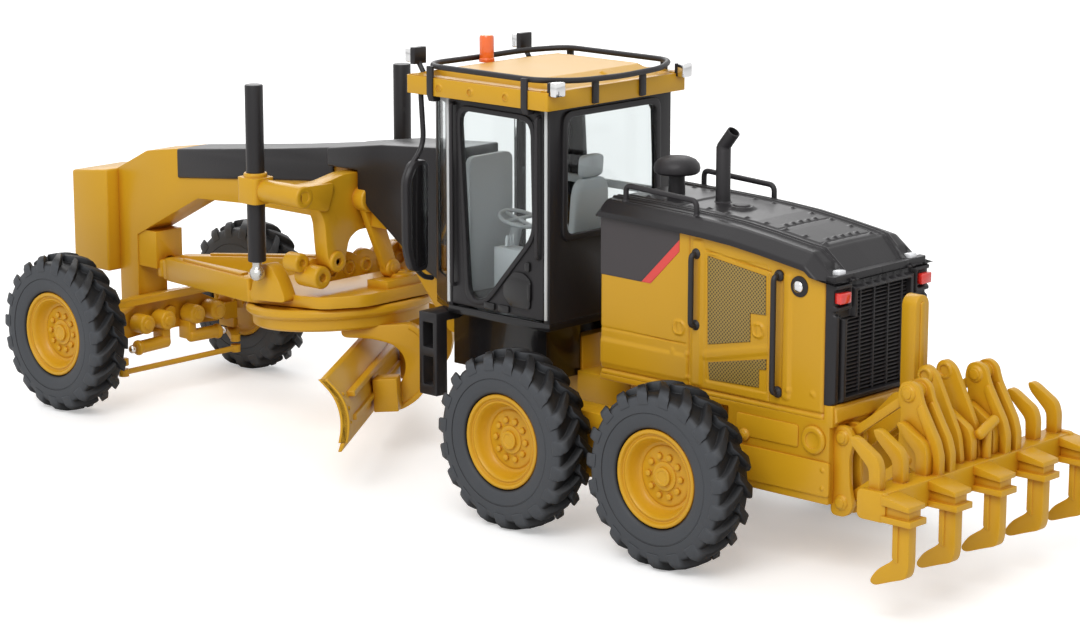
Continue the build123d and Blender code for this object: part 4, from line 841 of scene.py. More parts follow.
def make_hood_fittings():
    """Exhaust with a cut tip, mushroom air pre-cleaner, handrails and side grips with round feet."""
    x, top = -7.0, hood_line(-7.0) + LID_RISE
    pipe = [
        (0, top), (1.7, top), (1.7, top + 0.35), (1.15, top + 0.7), (1.1, top + 1.2), (1.1, 58.0),
        (0.9, 58.4), (0, 58.4),
    ]
    tip = [(0, 0), (0.98, 0), (1.0, 0.3), (1.0, 3.3), (0.82, 3.35), (0.78, 2.2), (0, 2.2)]
    parts = [turned(pipe, (x, 0, 0), steps=32), turned(tip, (x + 0.15, 0, 57.9), (-0.62, 0, 0.78), 32)]
    x, top = 2.0, hood_line(2.0) + LID_RISE
    bowl = [
        (0, top), (1.7, top), (1.7, top + 0.3), (1.3, top + 0.5), (1.2, 52.9), (1.6, 53.0), (3.1, 53.05),
        (3.45, 53.35), (3.55, 53.9), (3.4, 54.5), (2.9, 55.1), (2.0, 55.5), (0.9, 55.65), (0, 55.65),
    ]
    stacks = join(*parts, turned(bowl, (x, 0, 0), steps=40))
    make_piece("stack_and_cleaner", stacks, "black_matte", "rear", ["hood_stacks"])
    front, rear, low, high, y = 4.2, -9.5, 49.2, 52.1, 9
    rail = [(front, y, low), (front, y, high), (rear, y, high - 0.7), (rear, y, low - 0.6)]
    feet = [(front, y, low + 0.35), (rear, y, low - 0.1)]
    parts = [tube(rail, 0.42, 1.0, LEFT), domes(feet, UP, 0.75, 0.4)]
    for x, low, high in ((-11.4, 33.6, 44.2), (-26.7, 26.1, 43.1)):
        grip = [(x, HOOD_HALF, low), (x, 12.4, low), (x, 12.4, high), (x, HOOD_HALF, high)]
        feet = [(x, 11.2, low), (x, 11.2, high)]
        parts += [tube(grip, 0.42, 0.9, AHEAD), domes(feet, LEFT, 0.85, 0.45, 16)]
    make_piece("hood_grips", both(*parts), "black_matte", "rear", ["hood_rails"])


# Cab

DOOR_EDGE = [(35.6, 62.6), (16.4, 62.6), (16.4, 43.0), (16.4, 30.4), (35.6, 30.4)]
DOOR_PANE = [(33.7, 60.9), (18.8, 60.7), (18.4, 43.4), (28.6, 31.8), (31.8, 31.8)]
REAR_PANE = [(10.1, 61.2), (-10.1, 61.2), (-10.3, 43.3), (10.3, 43.3)]
CAB_FLOOR = 29.9
SEAT_X = 24
WHEEL_X = 34.4


def make_roof(grain):
    """A roof slab whose crown is the lowest of several sloping planes, with raised side strips."""
    u = np.linspace(14.2, 43.2, grain.steps * 2 // 3)[:, None]
    y = np.linspace(-15.5, 15.5, grain.steps * 2 // 3)[None, :]
    u, y = np.broadcast_arrays(u, y)
    near = np.abs(y)
    planes = [
        np.full(u.shape, 1.5), 0.5 + (u - 16.3) * 0.32, (12.4 - near) * 1.3, 0.25 + (43.6 - u) * 0.18,
        (12.4 - near) * 0.35 + (u - 16.5) * 0.32, 0.5 + (12.4 - near) * 0.2 + (44.5 - u) * 0.1,
    ]
    crown = np.clip(np.minimum.reduce(planes), 0, None)
    rim = 0.3 * inside(13.4 - near, 0.4) + 0.12 * inside(u - 15.4, 0.3)
    z = 65.4 + np.maximum(crown, rim) + pads(u, y, [((16.2, -3.2), (18.4, -0.8), 0.3, 0.35, 0.3)])
    top = backed(np.stack([u, y, z], -1), 2, 64.2)
    make_piece("roof_skin", top, "yellow_enamel", "front", ["cab_roof"], sharp=25)
    edge = [(13.85, 15.85), (43.55, 15.85), (43.55, -15.85), (13.85, -15.85)]
    skirt = ring_plate(loop(edge, 0.5), loop(grown(edge, -0.6), 0.5), 62.8, 65.6, 2)
    cups = [eye((x, 0, 64.15), 15.4, 16.05, 0.78, 0.46, 0.35) for x in (36.4, 29.8, 22.4)]
    make_piece("roof_skirt", join(skirt, both(*cups)), "yellow_enamel", "front", edge=0.14)
    ring = [(12.9, 0, 66.7), (13.3, 9.6, 66.9), (16.6, 15.3, 67.2), (38.4, 15.3, 67.3), (42.9, 10.2, 66.9)]
    ring = [*ring, (43.1, 0, 66.8), *[(x, -y, z) for x, y, z in reversed(ring[1:])]]
    foot = [
        (15.6, 67.4), (16.2, 67.4), (16.2, 63.0), (15.75, 61.9), (14.3, 61.9), (14.3, 62.5),
        (15.75, 62.8),
    ]
    feet = [prism(foot, x - 0.6, x + 0.6, 0) for x in (38.2, 18.4)]
    feet.append(box((13.35, 13.95), (4.8, 6.0), (63.0, 67.0)))
    rail = join(ring_tube(loop(ring, 2.6, 6), 0.45), both(*feet))
    make_piece("roof_ring", rail, "black_matte", "front", ["roof_rail"], edge=0.12)


def make_cab_lamps():
    """Chrome work lamps on the roof's corners and the orange beacon."""
    head = box((45.0, 46.6), (10.9, 13.1), (67.0, 69.2))
    tail = box((12.3, 13.6), (13.4, 15.6), (65.0, 67.2))
    make_piece("roof_lamp_faces", both(head, tail), "chrome_plate", "front", edge=0.25)
    cases = both(
        box((44.2, 45.2), (10.7, 13.3), (66.8, 69.4)), box((13.5, 14.2), (13.5, 15.5), (65.1, 67.1)),
        rod((44.6, 12, 67), (43.2, 12, 65), 0.4),
    )
    make_piece("roof_lamp_cases", cases, "black_satin", "front", ["roof_lamps"], edge=0.2)
    beacon = [(0, 0), (1.25, 0), (1.25, 0.5), (1.15, 0.6), (1.15, 3.9), (1.0, 4.2), (0.7, 4.3), (0, 4.3)]
    make_piece("beacon", turned(beacon, (41.5, 0, 66.2), steps=32), "lens_orange", "front")


def make_mirrors():
    """Tall mirror cases on bent rods from the roof's front corners."""
    x = 41.2
    corners = [(14.0, 52.4), (17.2, 52.6), (18.9, 49.6), (18.8, 38.6), (17.6, 35.0), (14.2, 35.0)]
    case = plate(corners, x - 0.7, x + 0.8, 1.2, 0)
    bends = [(15.0, 63.0), (14.4, 54.6), (18.7, 50.3), (18.6, 38.2), (15.0, 33.9), (12.6, 33.4)]
    arm = tube([(x, y, z) for y, z in bends], 0.42, 2.2, AHEAD)
    make_piece("mirror_cases", both(case, arm), "black_satin", "front", ["mirrors"], 0.3)
    glass = plate(grown(corners, -0.75), x - 0.82, x - 0.6, 0.9, 0)
    make_piece("mirror_glasses", both(glass), "black_gloss", "front", edge=0.05)


def make_cab_inside():
    """Seat with a shaped back and head rest, consoles, and a steering column with its wheel."""
    arm_rest = box((SEAT_X - 3, SEAT_X + 3), (3.9, 4.9), (38.6, 39.5))
    seat = join(
        cushion((SEAT_X, 0, 33.6), (SEAT_X, 0, 37.0), (4.0, 3.7)),
        cushion((20.6, 0, 36.0), (19.6, 0, 50.6), (1.0, 3.8)),
        cushion((19.7, 0, 50.4), (19.4, 0, 54.0), (0.8, 2.4)),
        rod((SEAT_X, 0, CAB_FLOOR), (SEAT_X, 0, 34.0), 1.8), both(arm_rest),
    )
    make_piece("seat_pads", seat, "seat_grey", "front", ["seat"])
    t = circle(40)
    wheel = np.stack([WHEEL_X + 3.0 * np.cos(t), 3.2 * np.sin(t), 42.0 + 0.9 * np.cos(t)], 1)
    dash = [(-4.9, CAB_FLOOR), (-4.9, 51.6), (4.9, 51.6), (4.9, CAB_FLOOR)]
    fittings = join(
        both(box((22, 32), (5.2, 8.2), (CAB_FLOOR, 39.0))), rod((38, 0, CAB_FLOOR), (34.6, 0, 41.4), 0.9),
        domes([(30, y, 39.4) for y in (-7.4, -6.7, -6.0, 6.0, 6.7, 7.4)], UP, 0.32, 1.6),
        ring_tube(wheel, 0.32), rod((31.6, 0, 41.1), (37.2, 0, 42.7), 0.3),
        rod((WHEEL_X, -3, 42.0), (WHEEL_X, 3, 42.0), 0.3), box((16, 42.6), (-12.6, -11.8), (46.4, 47.6)),
        plate(dash, 40.4, 41.4, 1.6, 0),
    )
    make_piece("cab_fittings", fittings, "seat_grey", "front", ["cab_controls"], edge=0.2)


def make_doors():
    """Door plates cut to rounded panes, raised gaskets, bevelled panels, latches and a gasket at the rear."""
    opening = loop(DOOR_PANE, 2.2)
    sheet = ring_plate(loop(DOOR_EDGE, 0.3), opening, 13.1, 13.95, 1)
    gasket = ring_plate(loop(grown(DOOR_PANE, 0.8), 2.6), opening, 13.7, 14.3, 1)
    doors = both(sheet, gasket)
    make_piece("door_plates", doors, "black_satin", "front", ["cab_doors"], 0.13)
    rear = ring_plate(loop(grown(REAR_PANE, 1.0), 2.0), loop(REAR_PANE, 1.6), 14.75, 15.5, 0)
    make_piece("rear_gasket", rear, "black_satin", "front", edge=0.13)
    panel = [
        (22.8, 31.8), (18.9, 31.8), (18.7, 36.2), (20.2, 37.3), (22.2, 37.3), (24.4, 35.0), (24.4, 33.2),
    ]
    parts = [plate(panel, 13.8, 14.35, 0.5), plate(grown(panel, -0.5), 14.3, 14.15, 0.4)]
    parts += [oblong((x + 1.1, x - 1.1), (30.6, 31.7), 13.8, 14.35, 0.3) for x in (27.45, 24.4)]
    parts.append(oblong((19.9, 18.9), (37.6, 39.1), 13.8, 14.45, 0.4))
    parts.append(oblong((19.3, 18.7), (33.2, 35.8), 13.8, 14.5, 0.2))
    make_piece("door_panels", both(*parts), "black_gloss", "front", edge=0.12)


def make_cab():
    """Pillars, panes, clear edges and boxes under the floor."""
    casting("cab_frame", "black_satin", 0.2)
    casting("cab_base", "black_gloss", 0.25)
    casting("ladders", "black_satin", 0.2)
    panes = frame["nodes"]["cab_glass"].data.materials
    panes.clear()
    panes.append(FINISHES["clear_pane"])
    make_doors()
    strips = [box((x, x + 0.55), (13.75, 14.12), (30.5, 62.6)) for x in (15.55, 36.1)]
    make_piece("cab_clear_edges", both(*strips), "clear_edge", "front", edge=0.12)
    bars = [
        tube([(x, 13.8, low), (x, 14.7, low), (x, 14.7, high), (x, 13.8, high)], 0.3, 0.7, AHEAD)
        for x, low, high in ((35.0, 33.5, 61.8), (17.1, 40.0, 61.5))
    ]
    make_piece("door_bars", both(*bars), "black_matte", "front")


# Frame, blade gear, axle and ripper

CASTINGS = {
    "yellow_enamel": (
        ("tandems", 0.3), ("rear_frame", 0.25), ("front_frame", 0.5), ("push_block", 0.4),
        ("blade_carrier", 0.4), ("front_axle", 0.3), ("lean_post_left", 0.12), ("lean_post_right", 0.12),
        ("lean_bar", 0.15), ("knuckle_left", 0.08), ("knuckle_right", 0.08), ("tie_rod", 0.08),
        ("ripper_rod", 0.15),
    ),
    "black_satin": (("frame_cover", 0.3), ("lift_cylinders", 0.18)),
    "steel_bright": (("lift_rod_left", 0.15), ("lift_rod_right", 0.15), ("hitch_pin", 0.15)),
}
LOW_PIN, HIGH_PIN, LOW_END, HIGH_END = (-37.5, 11.5), (-37.5, 21.0), (-48.7, 19.8), (-48.7, 29.3)
CHEEKS = ((6.25, 7.15), (8.85, 9.75))
SHANK_PITCH = 10.66
PITCH = math.radians(4.5)
BALL = np.array((121.8, 0, 22.4))
TURN = math.radians(37.0)
PIVOT_X = 76.0
STEERING_X = 118.0


def make_castings():
    """Painted castings that keep the shape of their CAD nodes, with rounded edges."""
    for look, rows in CASTINGS.items():
        for cad, edge in rows:
            casting(cad, look, edge)


def make_shanks():
    """Boot-shaped shanks in waisted holders."""
    back, front, beam = -58.4, -56.0, -54.4
    boot = plate([
        (back, 17.2), (front, 17.2), (front, 9.6), (front + 2.8, 7.7), (front + 4.1, 5.9),
        (front + 3.3, 5.3), (front - 0.4, 6.7), (back + 0.4, 7.2), (back, 8.8),
    ], -0.85, 0.85, 0.9)
    rib = [(front - 0.7, 17.0), (front + 0.2, 17.0), (front + 0.2, 9.8), (front - 0.7, 9.2)]
    shank = join(
        boot, plate(rib, -1.05, 1.05, 0.2),
        prism([(beam, 18.5), (beam, 17.2), (back - 0.6, 16.9), (back - 0.6, 17.6)], -1.9, 1.9),
        box((back - 0.3, beam), (-1.35, 1.35), (15.4, 17.3)),
        box((back - 0.9, beam), (-1.9, 1.9), (14.8, 15.7)),
    )
    places = [(0, k * SHANK_PITCH, 0) for k in range(-2, 3)]
    gear_piece("ripper_teeth", repeat(shank, places), ["ripper_shanks"], 0.28)


def make_tower():
    """The ripper's beam with its claw tines, cheeks with round heads, a middle clevis and a small handle."""
    foot = -53.2
    tine = plate([
        (foot, 18.2), (foot + 1.8, 18.2), (foot + 1.9, 21.5), (foot + 4.9, 24.3), (foot + 5.3, 25.5),
        (foot + 4.2, 25.4), (foot + 0.6, 23.2), (foot, 21.6),
    ], -0.7, 0.7, 0.75)
    tines = repeat(tine, [(0, k * SHANK_PITCH / 2, 0) for k in range(-4, 5)])
    body = box((-54.5, -50.5), (-22.3, 22.3), (14.8, 18.6))
    cheek = [
        (-54.3, 18.2), (-50.5, 18.2), (-48.3, 19.3), (-47.1, 21.6), (-47.3, 24.6), (-47.5, 26.8),
        (-46.8, 28.6), (-47.3, 30.6), (-48.9, 31.2), (-50.4, 30.4), (-50.9, 28.6), (-53.6, 23.4),
        (-54.3, 21.2),
    ]
    strip = [
        (-54.4, 18.3), (-53.3, 18.3), (-53.2, 21.2), (-50.2, 27.4), (-50.9, 28.2), (-53.8, 23.2),
        (-54.4, 21.2),
    ]
    clevis = [
        (-53.0, 18.2), (-50.2, 18.2), (-48.9, 22.4), (-45.1, 28.9), (-45.0, 31.0), (-46.4, 32.0),
        (-48.1, 31.1), (-52.4, 22.6),
    ]
    sides = [plate(cheek, low, high, 0.8) for low, high in CHEEKS]
    sides += [plate(strip, low - 0.22, high + 0.22, 0.5) for low, high in CHEEKS]
    sides += [
        eye((HIGH_END[0], 0, HIGH_END[1]), 5.95, 10.1, 1.25, 0.75, -0.2),
        eye((LOW_END[0], 0, LOW_END[1]), 6.0, 10.0, 0.85, 0.45, -0.15),
        plate(clevis, 1.75, 2.75, 1.0), eye((-46.5, 0, 30.3), 1.55, 3.15, 1.35, 0.75, 0.25),
        oblong((-54.9, -50.1), (14.6, 18.8), 21.9, 22.9, 0.9),
    ]
    handle = [rod((-53.4, -2.7, 18.4), (-53.4, -2.7, 23.0), 0.7, 0.3)]
    handle.append(rod((-53.4, -0.4, 22.1), (-53.4, -4.9, 23.9), 0.78, 0.35))
    gear_piece("ripper_tower", join(tines, body, both(*sides), *handle), ["ripper_beam"], 0.26)


def make_ripper():
    """Shanks and tower on two pairs of links, with a round-topped post and the ears that carry them."""
    make_shanks()
    make_tower()
    # name, node, pin, end, half width of the bar
    rows = [
        ("high", "ripper_upper_links", HIGH_PIN, HIGH_END, 0.62),
        ("low", "ripper_lower_link", LOW_PIN, LOW_END, 0.75),
    ]
    for word, cad, pin, end, waist in rows:
        gear_piece(f"ripper_arms_{word}", both(link(pin, end, 7.35, 8.65, 1.3, waist)), [cad], 0.16)
    t = np.linspace(0, np.pi, 17)
    top = np.stack([1.62 * np.cos(t), 1.6 * np.sin(t)], 1)
    post = prism(np.concatenate([[(-1.62, 23.2), (1.62, 23.2)], top + (0, 39.4)]), -43.7, -41.2, 0)
    ridge = prism(np.concatenate([[(-0.55, 23.6), (0.55, 23.6)], top * 0.34 + (0, 39.6)]), -43.95, -43.6, 0)
    gear_piece("ripper_post", join(post, ridge), ["ripper_cylinder"], 0.42)
    ear = [
        (-35.6, 9.4), (-38.3, 9.4), (-39.6, 11.0), (-38.9, 13.6), (-38.7, 18.4), (-39.6, 21.0), (-38.4, 22.7),
        (-35.6, 22.7),
    ]
    sides = [plate(ear, low, high, 1.0) for low, high in CHEEKS]
    sides += [eye((x, 0, z), 6.0, 10.1, 1.15, 0.75, -0.18) for x, z in (LOW_PIN, HIGH_PIN)]
    trunnion = [(-36, 17.5), (-36, 22.4), (-36.65, 22.4), (-41, 27), (-43.9, 27), (-43.9, 24.5), (-41, 21.5)]
    gear_piece("ripper_ears", both(*sides, plate(trunnion, 1.62, 2.6, 0.6)), ["ripper_bracket"], 0.24)


def make_bumper_trim():
    """Cast forms on the rear frame: a pebbled sill under the grille, side seams and round bosses."""
    sill = prism([(-36.2, 25.6), (-36.9, 25.1), (-37.2, 23.3), (-36.2, 22.6)], -10.6, 10.6)
    make_piece("grille_sill", sill, "yellow_tread", "rear", edge=0.2)
    trim = both(
        eye((-33.4, 0, 20.2), 10.6, 11.55, 2.1, 1.2, 0.2), eye((-20.8, 0, 18.8), 10.8, 11.6, 0.9, 0.5, -0.2),
        oblong((-36.3, -19.0), (12.2, 17.3), 10.8, 11.3, 0.6),
        oblong((-30.6, -19.2), (18.6, 21.9), 10.8, 11.2, 0.5),
        domes([(x, 11.1, z) for x in (-35.2, -20.4) for z in (13.4, 16.1)], LEFT, 0.45, 0.4),
    )
    gear_piece("bumper_trim", trim, edge=0.2, like="rear_frame")


def make_axle_trim():
    """Cast bosses on the axle and two steering cylinders beside it with bright rods."""
    x = STEERING_X
    parts = [eye((0, y, 13.6), 116.2, 119.6, 1.7, 0.9, -0.3, AHEAD) for y in (3.4, 8.2)]
    parts += [rod((x, 2.4, 9.6), (x, 9.4, 9.4), 1.15, 0.3), rod((x, 8.6, 9.4), (x, 9.7, 9.4), 1.35, 0.3)]
    parts.append(box((117.4, 120.4), (2.2, 3.8), (9.0, 12.4)))
    gear_piece("axle_trim", both(*parts), edge=0.2, like="front_axle")
    bright = both(rod((x, 9.4, 9.4), (x, 10.4, 9.35), 0.5, 0.15), ball((x, 10.5, 9.35), 0.75))
    make_piece("steering_rods", bright, "chrome_plate", "front")


def boss(y, z, low, high, radius, hole, depth):
    """A round boss that points ahead."""
    return eye((0, y, z), low, high, radius, hole, depth, AHEAD)


def make_saddle():
    """The saddle's rounded arms and legs, its yoke blocks with round arms, and the shift link."""
    half = [
        (-0.2, 46.2), (7.5, 46.2), (12.0, 45.3), (16.6, 45.2), (18.3, 43.6), (16.8, 41.9), (13.2, 41.2),
        (12.0, 38.8), (11.5, 33.4), (10.9, 30.8), (8.8, 30.4), (7.4, 32.4), (6.6, 35.4), (4.6, 36.6),
        (-0.2, 36.6),
    ]
    shoulder = [(10.0, 45.2), (17.4, 45.3), (17.4, 41.9), (11.6, 40.6)]
    clamp = [(75.4, 14.6), (80.0, 14.6), (80.0, 19.0), (75.4, 19.0)]
    collar = [(1.5, 45.3), (1.95, 45.3), (1.95, 46.2), (1.8, 46.4), (1.5, 46.4)]
    sides = both(
        plate(half, 66.5, 69.5, 0.9, 0), boss(16.8, 43.6, 65.9, 75.6, 1.85, 0.9, 0.9),
        boss(9.4, 32.0, 66.0, 70.1, 1.75, 0.6, 0.5), plate(shoulder, 66.0, 66.8, 0.9, 0),
        plate(clamp, 41.4, 45.7, 0.9, 2), turned(collar, (77.7, 16.8, 0), steps=32, closed=True),
    )
    shift = join(
        plate([(1.9, 41.9), (5.6, 41.9), (0.0, 29.2), (-2.9, 29.2)], 64.7, 66.0, 0.5, 0),
        boss(3.75, 41.8, 64.2, 66.7, 2.1, 1.0, -0.3), boss(-1.5, 29.5, 64.3, 66.4, 1.6, 0.8, -0.2),
    )
    gear_piece("saddle_casting", join(sides, shift), ["saddle"], 0.4)


def make_link_bar():
    """A bar whose top is a row of scallops, one over each of five bosses, with arms at its ends."""
    step = 3.9
    top = np.linspace(-13.2, 13.2, 81)
    scallop = 31.5 + 0.9 * np.abs(np.cos(np.pi * top / step))
    outline = np.concatenate([np.stack([top, scallop], 1), [(13.2, 28.0), (-13.2, 28.0)]])
    rings = [boss(k * step, 29.7, 69.2, 71.3, 1.35, 0.78, 0.6) for k in range(-2, 3)]
    ends = both(boss(12.4, 29.7, 66.6, 71.8, 1.9, 0.7, 0.6), boss(14.3, 32.0, 69.4, 72.8, 1.6, 0.6, 0.4))
    gear_piece("link_bar_casting", join(prism(outline, 69.6, 71.1, 0), *rings, ends), ["link_bar"], 0.22)


def pitched(part):
    """A piece drawn level and tipped about the drawbar's ball: x' = x cos + z sin, z' = z cos - x sin."""
    points, faces = part
    x, y, z = (points - BALL).T
    tipped = [x * math.cos(PITCH) + z * math.sin(PITCH), y, z * math.cos(PITCH) - x * math.sin(PITCH)]
    return np.stack(tipped, 1) + BALL, faces


def on_circle(part):
    """A piece drawn square to the blade at the circle's pivot, turned by TURN and then tipped."""
    points, faces = part
    ahead, along, up = points.T
    x = PIVOT_X + ahead * math.cos(TURN) - along * math.sin(TURN)
    y = ahead * math.sin(TURN) + along * math.cos(TURN)
    return pitched((np.stack([x, y, up], 1), faces))


def make_drawbar():
    """A forked drawbar with its plate, head, turning drive, clamps and two rounded ears for the lift rods."""
    deck = [(61, 8), (66, 13.2), (84, 13.2), (90, 10.8), (90, -10.8), (84, -13.2), (66, -13.2), (61, -8)]
    leg = [(84, 13.2), (84, 9.4), (116, 0.8), (118, 0.8), (118, 2.6), (116.4, 3.2)]
    groove = [(88, 11.2), (88, 9.3), (112, 2.7), (112, 3.6)]
    ear = [(72.6, 21.2), (81.5, 21.2), (80.4, 24.4), (78.4, 27.4), (76.0, 27.4), (74.2, 25.2), (73.2, 23.0)]
    collar = [(0, 20.6), (2.3, 20.6), (2.5, 20.9), (2.5, 23.4), (2.2, 23.8), (0, 23.8)]
    drive = [(0, 22.0), (2.2, 22.0), (2.2, 23.9), (1.9, 24.2), (1.0, 24.2), (0.9, 24.5), (0, 24.5)]
    angle = np.radians([20, 62, 118, 160, 200, 242, 298, 340])
    places = np.stack([PIVOT_X + 13.8 * np.cos(angle), 13.8 * np.sin(angle), 0 * angle], 1)
    level = join(
        plate(deck, 20.2, 22.2, 2.2, 2),
        both(plate(leg, 20.2, 24.2, 0.7, 2), plate(groove, 24.1, 24.6, 0.4, 2), plate(ear, 12.6, 15.3, 1.3)),
        box((115, 118.6), (-2.6, 2.6), (20.4, 23.8)), turned(collar, (119.4, 0, 0), steps=32),
        turned(drive, (64, -3, 0), steps=32), box((61.6, 66.4), (-5.2, 2.6), (22.0, 23.6)),
        repeat(box((-1.1, 1.1), (-0.9, 0.9), (20.3, 21.6)), places),
    )
    gear_piece("drawbar_casting", pitched(level), ["drawbar"], 0.32)


def make_circle():
    """A toothless ring with a rounded rim and a groove, and two hooked arms with a raised outer line."""
    ring = [
        (0, 16.2), (14.3, 16.2), (14.8, 16.6), (14.8, 18.1), (15.3, 18.3), (15.8, 18.8), (15.8, 19.5),
        (15.4, 19.95), (14.9, 20.0), (14.5, 19.6), (13.6, 19.6), (13.2, 20.0), (0, 20.0),
    ]
    outer = [
        (-2.0, 16.6), (-13.6, 16.6), (-15.4, 15.4), (-16.8, 12.8), (-17.3, 10.2), (-16.5, 7.0), (-14.2, 4.1),
        (-11.6, 2.5), (-9.6, 2.2), (-8.6, 3.0), (-8.8, 5.0), (-11.0, 6.4), (-12.3, 8.6), (-12.3, 11.2),
        (-10.6, 13.3), (-7.0, 14.4), (-2.0, 14.8),
    ]
    edge = rounded_run(outer[1:10], 1.2)
    inner = edge + (np.array([-9.5, 9.8]) - edge) * 0.11
    line = np.concatenate([edge, inner[::-1]])
    parts = [turned(ring, (0, 0, 0), steps=96)]
    # inner side, outer side and face of each arm
    for low, high, face in ((9.8, 12.2, 12.35), (-12.2, -9.8, -12.35)):
        near, far = sorted((face, (low + high) / 2))
        parts += [plate(outer, low, high, 1.1), prism(line, near, far)]
        parts.append(eye((-10.4, 0, 4.2), low - 0.35, high + 0.35, 1.2, 0.6, -0.15))
    gear_piece("circle_casting", on_circle(join(*parts)), ["circle"], 0.26)


def make_blade():
    """A moldboard whose curved section is carried along the blade between its end plates, and its edge."""
    vertices = frame["nodes"]["moldboard"].data.vertices
    corners = np.empty(len(vertices) * 3, np.float32)
    vertices.foreach_get("co", corners)
    corners = corners.reshape(-1, 3).astype(float) / MM - STATION_ZERO
    origin, *axes = on_circle((np.array([(0, 0, 0), (1, 0, 0), (0, 1, 0), (0, 0, 1.0)]), []))[0]
    local = (corners - origin) @ (np.array(axes) - origin).T
    (rear, start, low), (ahead, stop, high) = local.min(0), local.max(0)
    wall, tall = 1.0, high - low
    reach = ahead - rear - wall
    section = [(0.6, 0), (0.1, 2.0), (0, tall - 5.6), (reach - 2.2, tall - 2.6), (reach, tall)]
    curve = rounded_run(section, 2.6, 8)
    t = np.linspace(0, 1, 25)
    bow = rear + np.interp(t * tall, curve[:, 1], curve[:, 0])
    face = np.stack([bow + wall, low + t * tall], 1)
    skin = (face - (wall, 0))[::-1]
    parts = [prism(np.concatenate([face, skin]), start, stop)]
    thick = np.concatenate([face + (0.25, 0), skin - (0.25, 0)])
    parts += [prism(thick, y, y + 0.7) for y in (start, stop - 0.7)]
    rows = [(np.interp(k, t, bow), low + k * tall) for k in (0.28, 0.5, 0.72)]
    parts += [domes([(x, y, z) for x, z in rows], (-1, 0, 0), 0.38, 0.3) for y in (start + 2.2, stop - 2.2)]
    for z in (low + 2.6, low + 6.4):
        parts.append(box((rear - 0.45, rear + 0.8), (start + 5.0, stop - 5.0), (z, z + 0.9)))
    gear_piece("moldboard_curve", on_circle(join(*parts)), ["moldboard"], 0.16)
    casting("cutting_edge", "yellow_enamel")


# Stage

FLOOR_HALF = 4
AIM = (0, 0, 0.03)
CAMERA_PLACE = (-0.33415, 0.3483, 0.1321)
CAMERA_YAW, CAMERA_PITCH = math.radians(-47.04), math.radians(-12.55)
CAMERA_LENS, SENSOR = 102.98, 36.0
LAMPS = [
    # name, place, size, share of the power
    ("key_lamp", (-0.35, 0.75, 0.85), 0.7, 1.0), ("top_lamp", (0.1, 0.1, 1.2), 0.9, 0.24),
    ("back_lamp", (0.7, -0.5, 0.6), 0.7, 0.45),
]


def make_floor(light):
    """A pale floor that keeps its shadows and is a little brighter to the camera."""
    floor = bpy.data.meshes.new("floor")
    corners = [(x * FLOOR_HALF, y * FLOOR_HALF, 0) for x, y in ((-1, -1), (1, -1), (1, 1), (-1, 1))]
    floor.from_pydata(corners, [], [(0, 1, 2, 3)])
    ground = bpy.data.objects.new("floor", floor)
    bpy.context.scene.collection.objects.link(ground)
    tree, bsdf = new_finish("floor_paper", Roughness=0.7, Base_Color=(0.86, 0.86, 0.86, 1))
    seen = node(tree, "ShaderNodeLightPath").outputs["Is Camera Ray"]
    bsdf.inputs["Emission Color"].default_value = (1, 1, 1, 1)
    tree.links.new(maths(tree, "MULTIPLY", seen, light.floor_glow), bsdf.inputs["Emission Strength"])
    floor.materials.append(FINISHES["floor_paper"])


def make_surroundings(light):
    """White surroundings: full strength where seen, mirrored or seen through glass, less as light."""
    world = bpy.data.worlds.new("surroundings")
    bpy.context.scene.world = world
    world.use_nodes = True
    tree = world.node_tree
    background = tree.nodes["Background"]
    rays = node(tree, "ShaderNodeLightPath").outputs
    white = maths(tree, "MAXIMUM", rays["Is Camera Ray"], rays["Is Transmission Ray"])
    white = maths(tree, "MAXIMUM", white, rays["Is Glossy Ray"])
    background.inputs["Color"].default_value = (1, 1, 1, 1)
    tree.links.new(ramp(tree, white, 0.0, 1.0, light.sky, 1.0), background.inputs["Strength"])


def make_stage(light):
    """Floor, surroundings, soft lamps and the camera at the photograph's angle."""
    scene = bpy.context.scene
    make_floor(light)
    make_surroundings(light)
    for name, place, size, share in LAMPS:
        lamp = bpy.data.lights.new(name, "AREA")
        lamp.energy, lamp.size = light.power * share, size
        source = bpy.data.objects.new(name, lamp)
        source.location = place
        source.rotation_euler = (Vector(AIM) - Vector(place)).to_track_quat("-Z", "Y").to_euler()
        scene.collection.objects.link(source)
    camera = bpy.data.objects.new("camera", bpy.data.cameras.new("camera"))
    level = math.cos(CAMERA_PITCH)
    ahead = Vector((math.cos(CAMERA_YAW) * level, math.sin(CAMERA_YAW) * level, math.sin(CAMERA_PITCH)))
    camera.location = CAMERA_PLACE
    camera.rotation_euler = ahead.to_track_quat("-Z", "Y").to_euler()
    camera.data.sensor_width, camera.data.lens = SENSOR, CAMERA_LENS
    camera.data.clip_start, camera.data.clip_end = 0.01, 20
    scene.collection.objects.link(camera)
    scene.camera = camera
    scene.view_settings.view_transform = "Standard"


# Settings, operators and panel


def colour(label, about, value):
    """A colour property."""
    return bpy.props.FloatVectorProperty(
        name=label, description=about, subtype="COLOR", default=value, min=0, max=1,
    )


def amount(label, about, value, **more):
    """A property for a number that isn't below zero."""
    return bpy.props.FloatProperty(name=label, description=about, default=value, min=0, **more)


def count(label, about, value, low, high):
    """A property for a whole number."""
    return bpy.props.IntProperty(name=label, description=about, default=value, min=low, max=high)


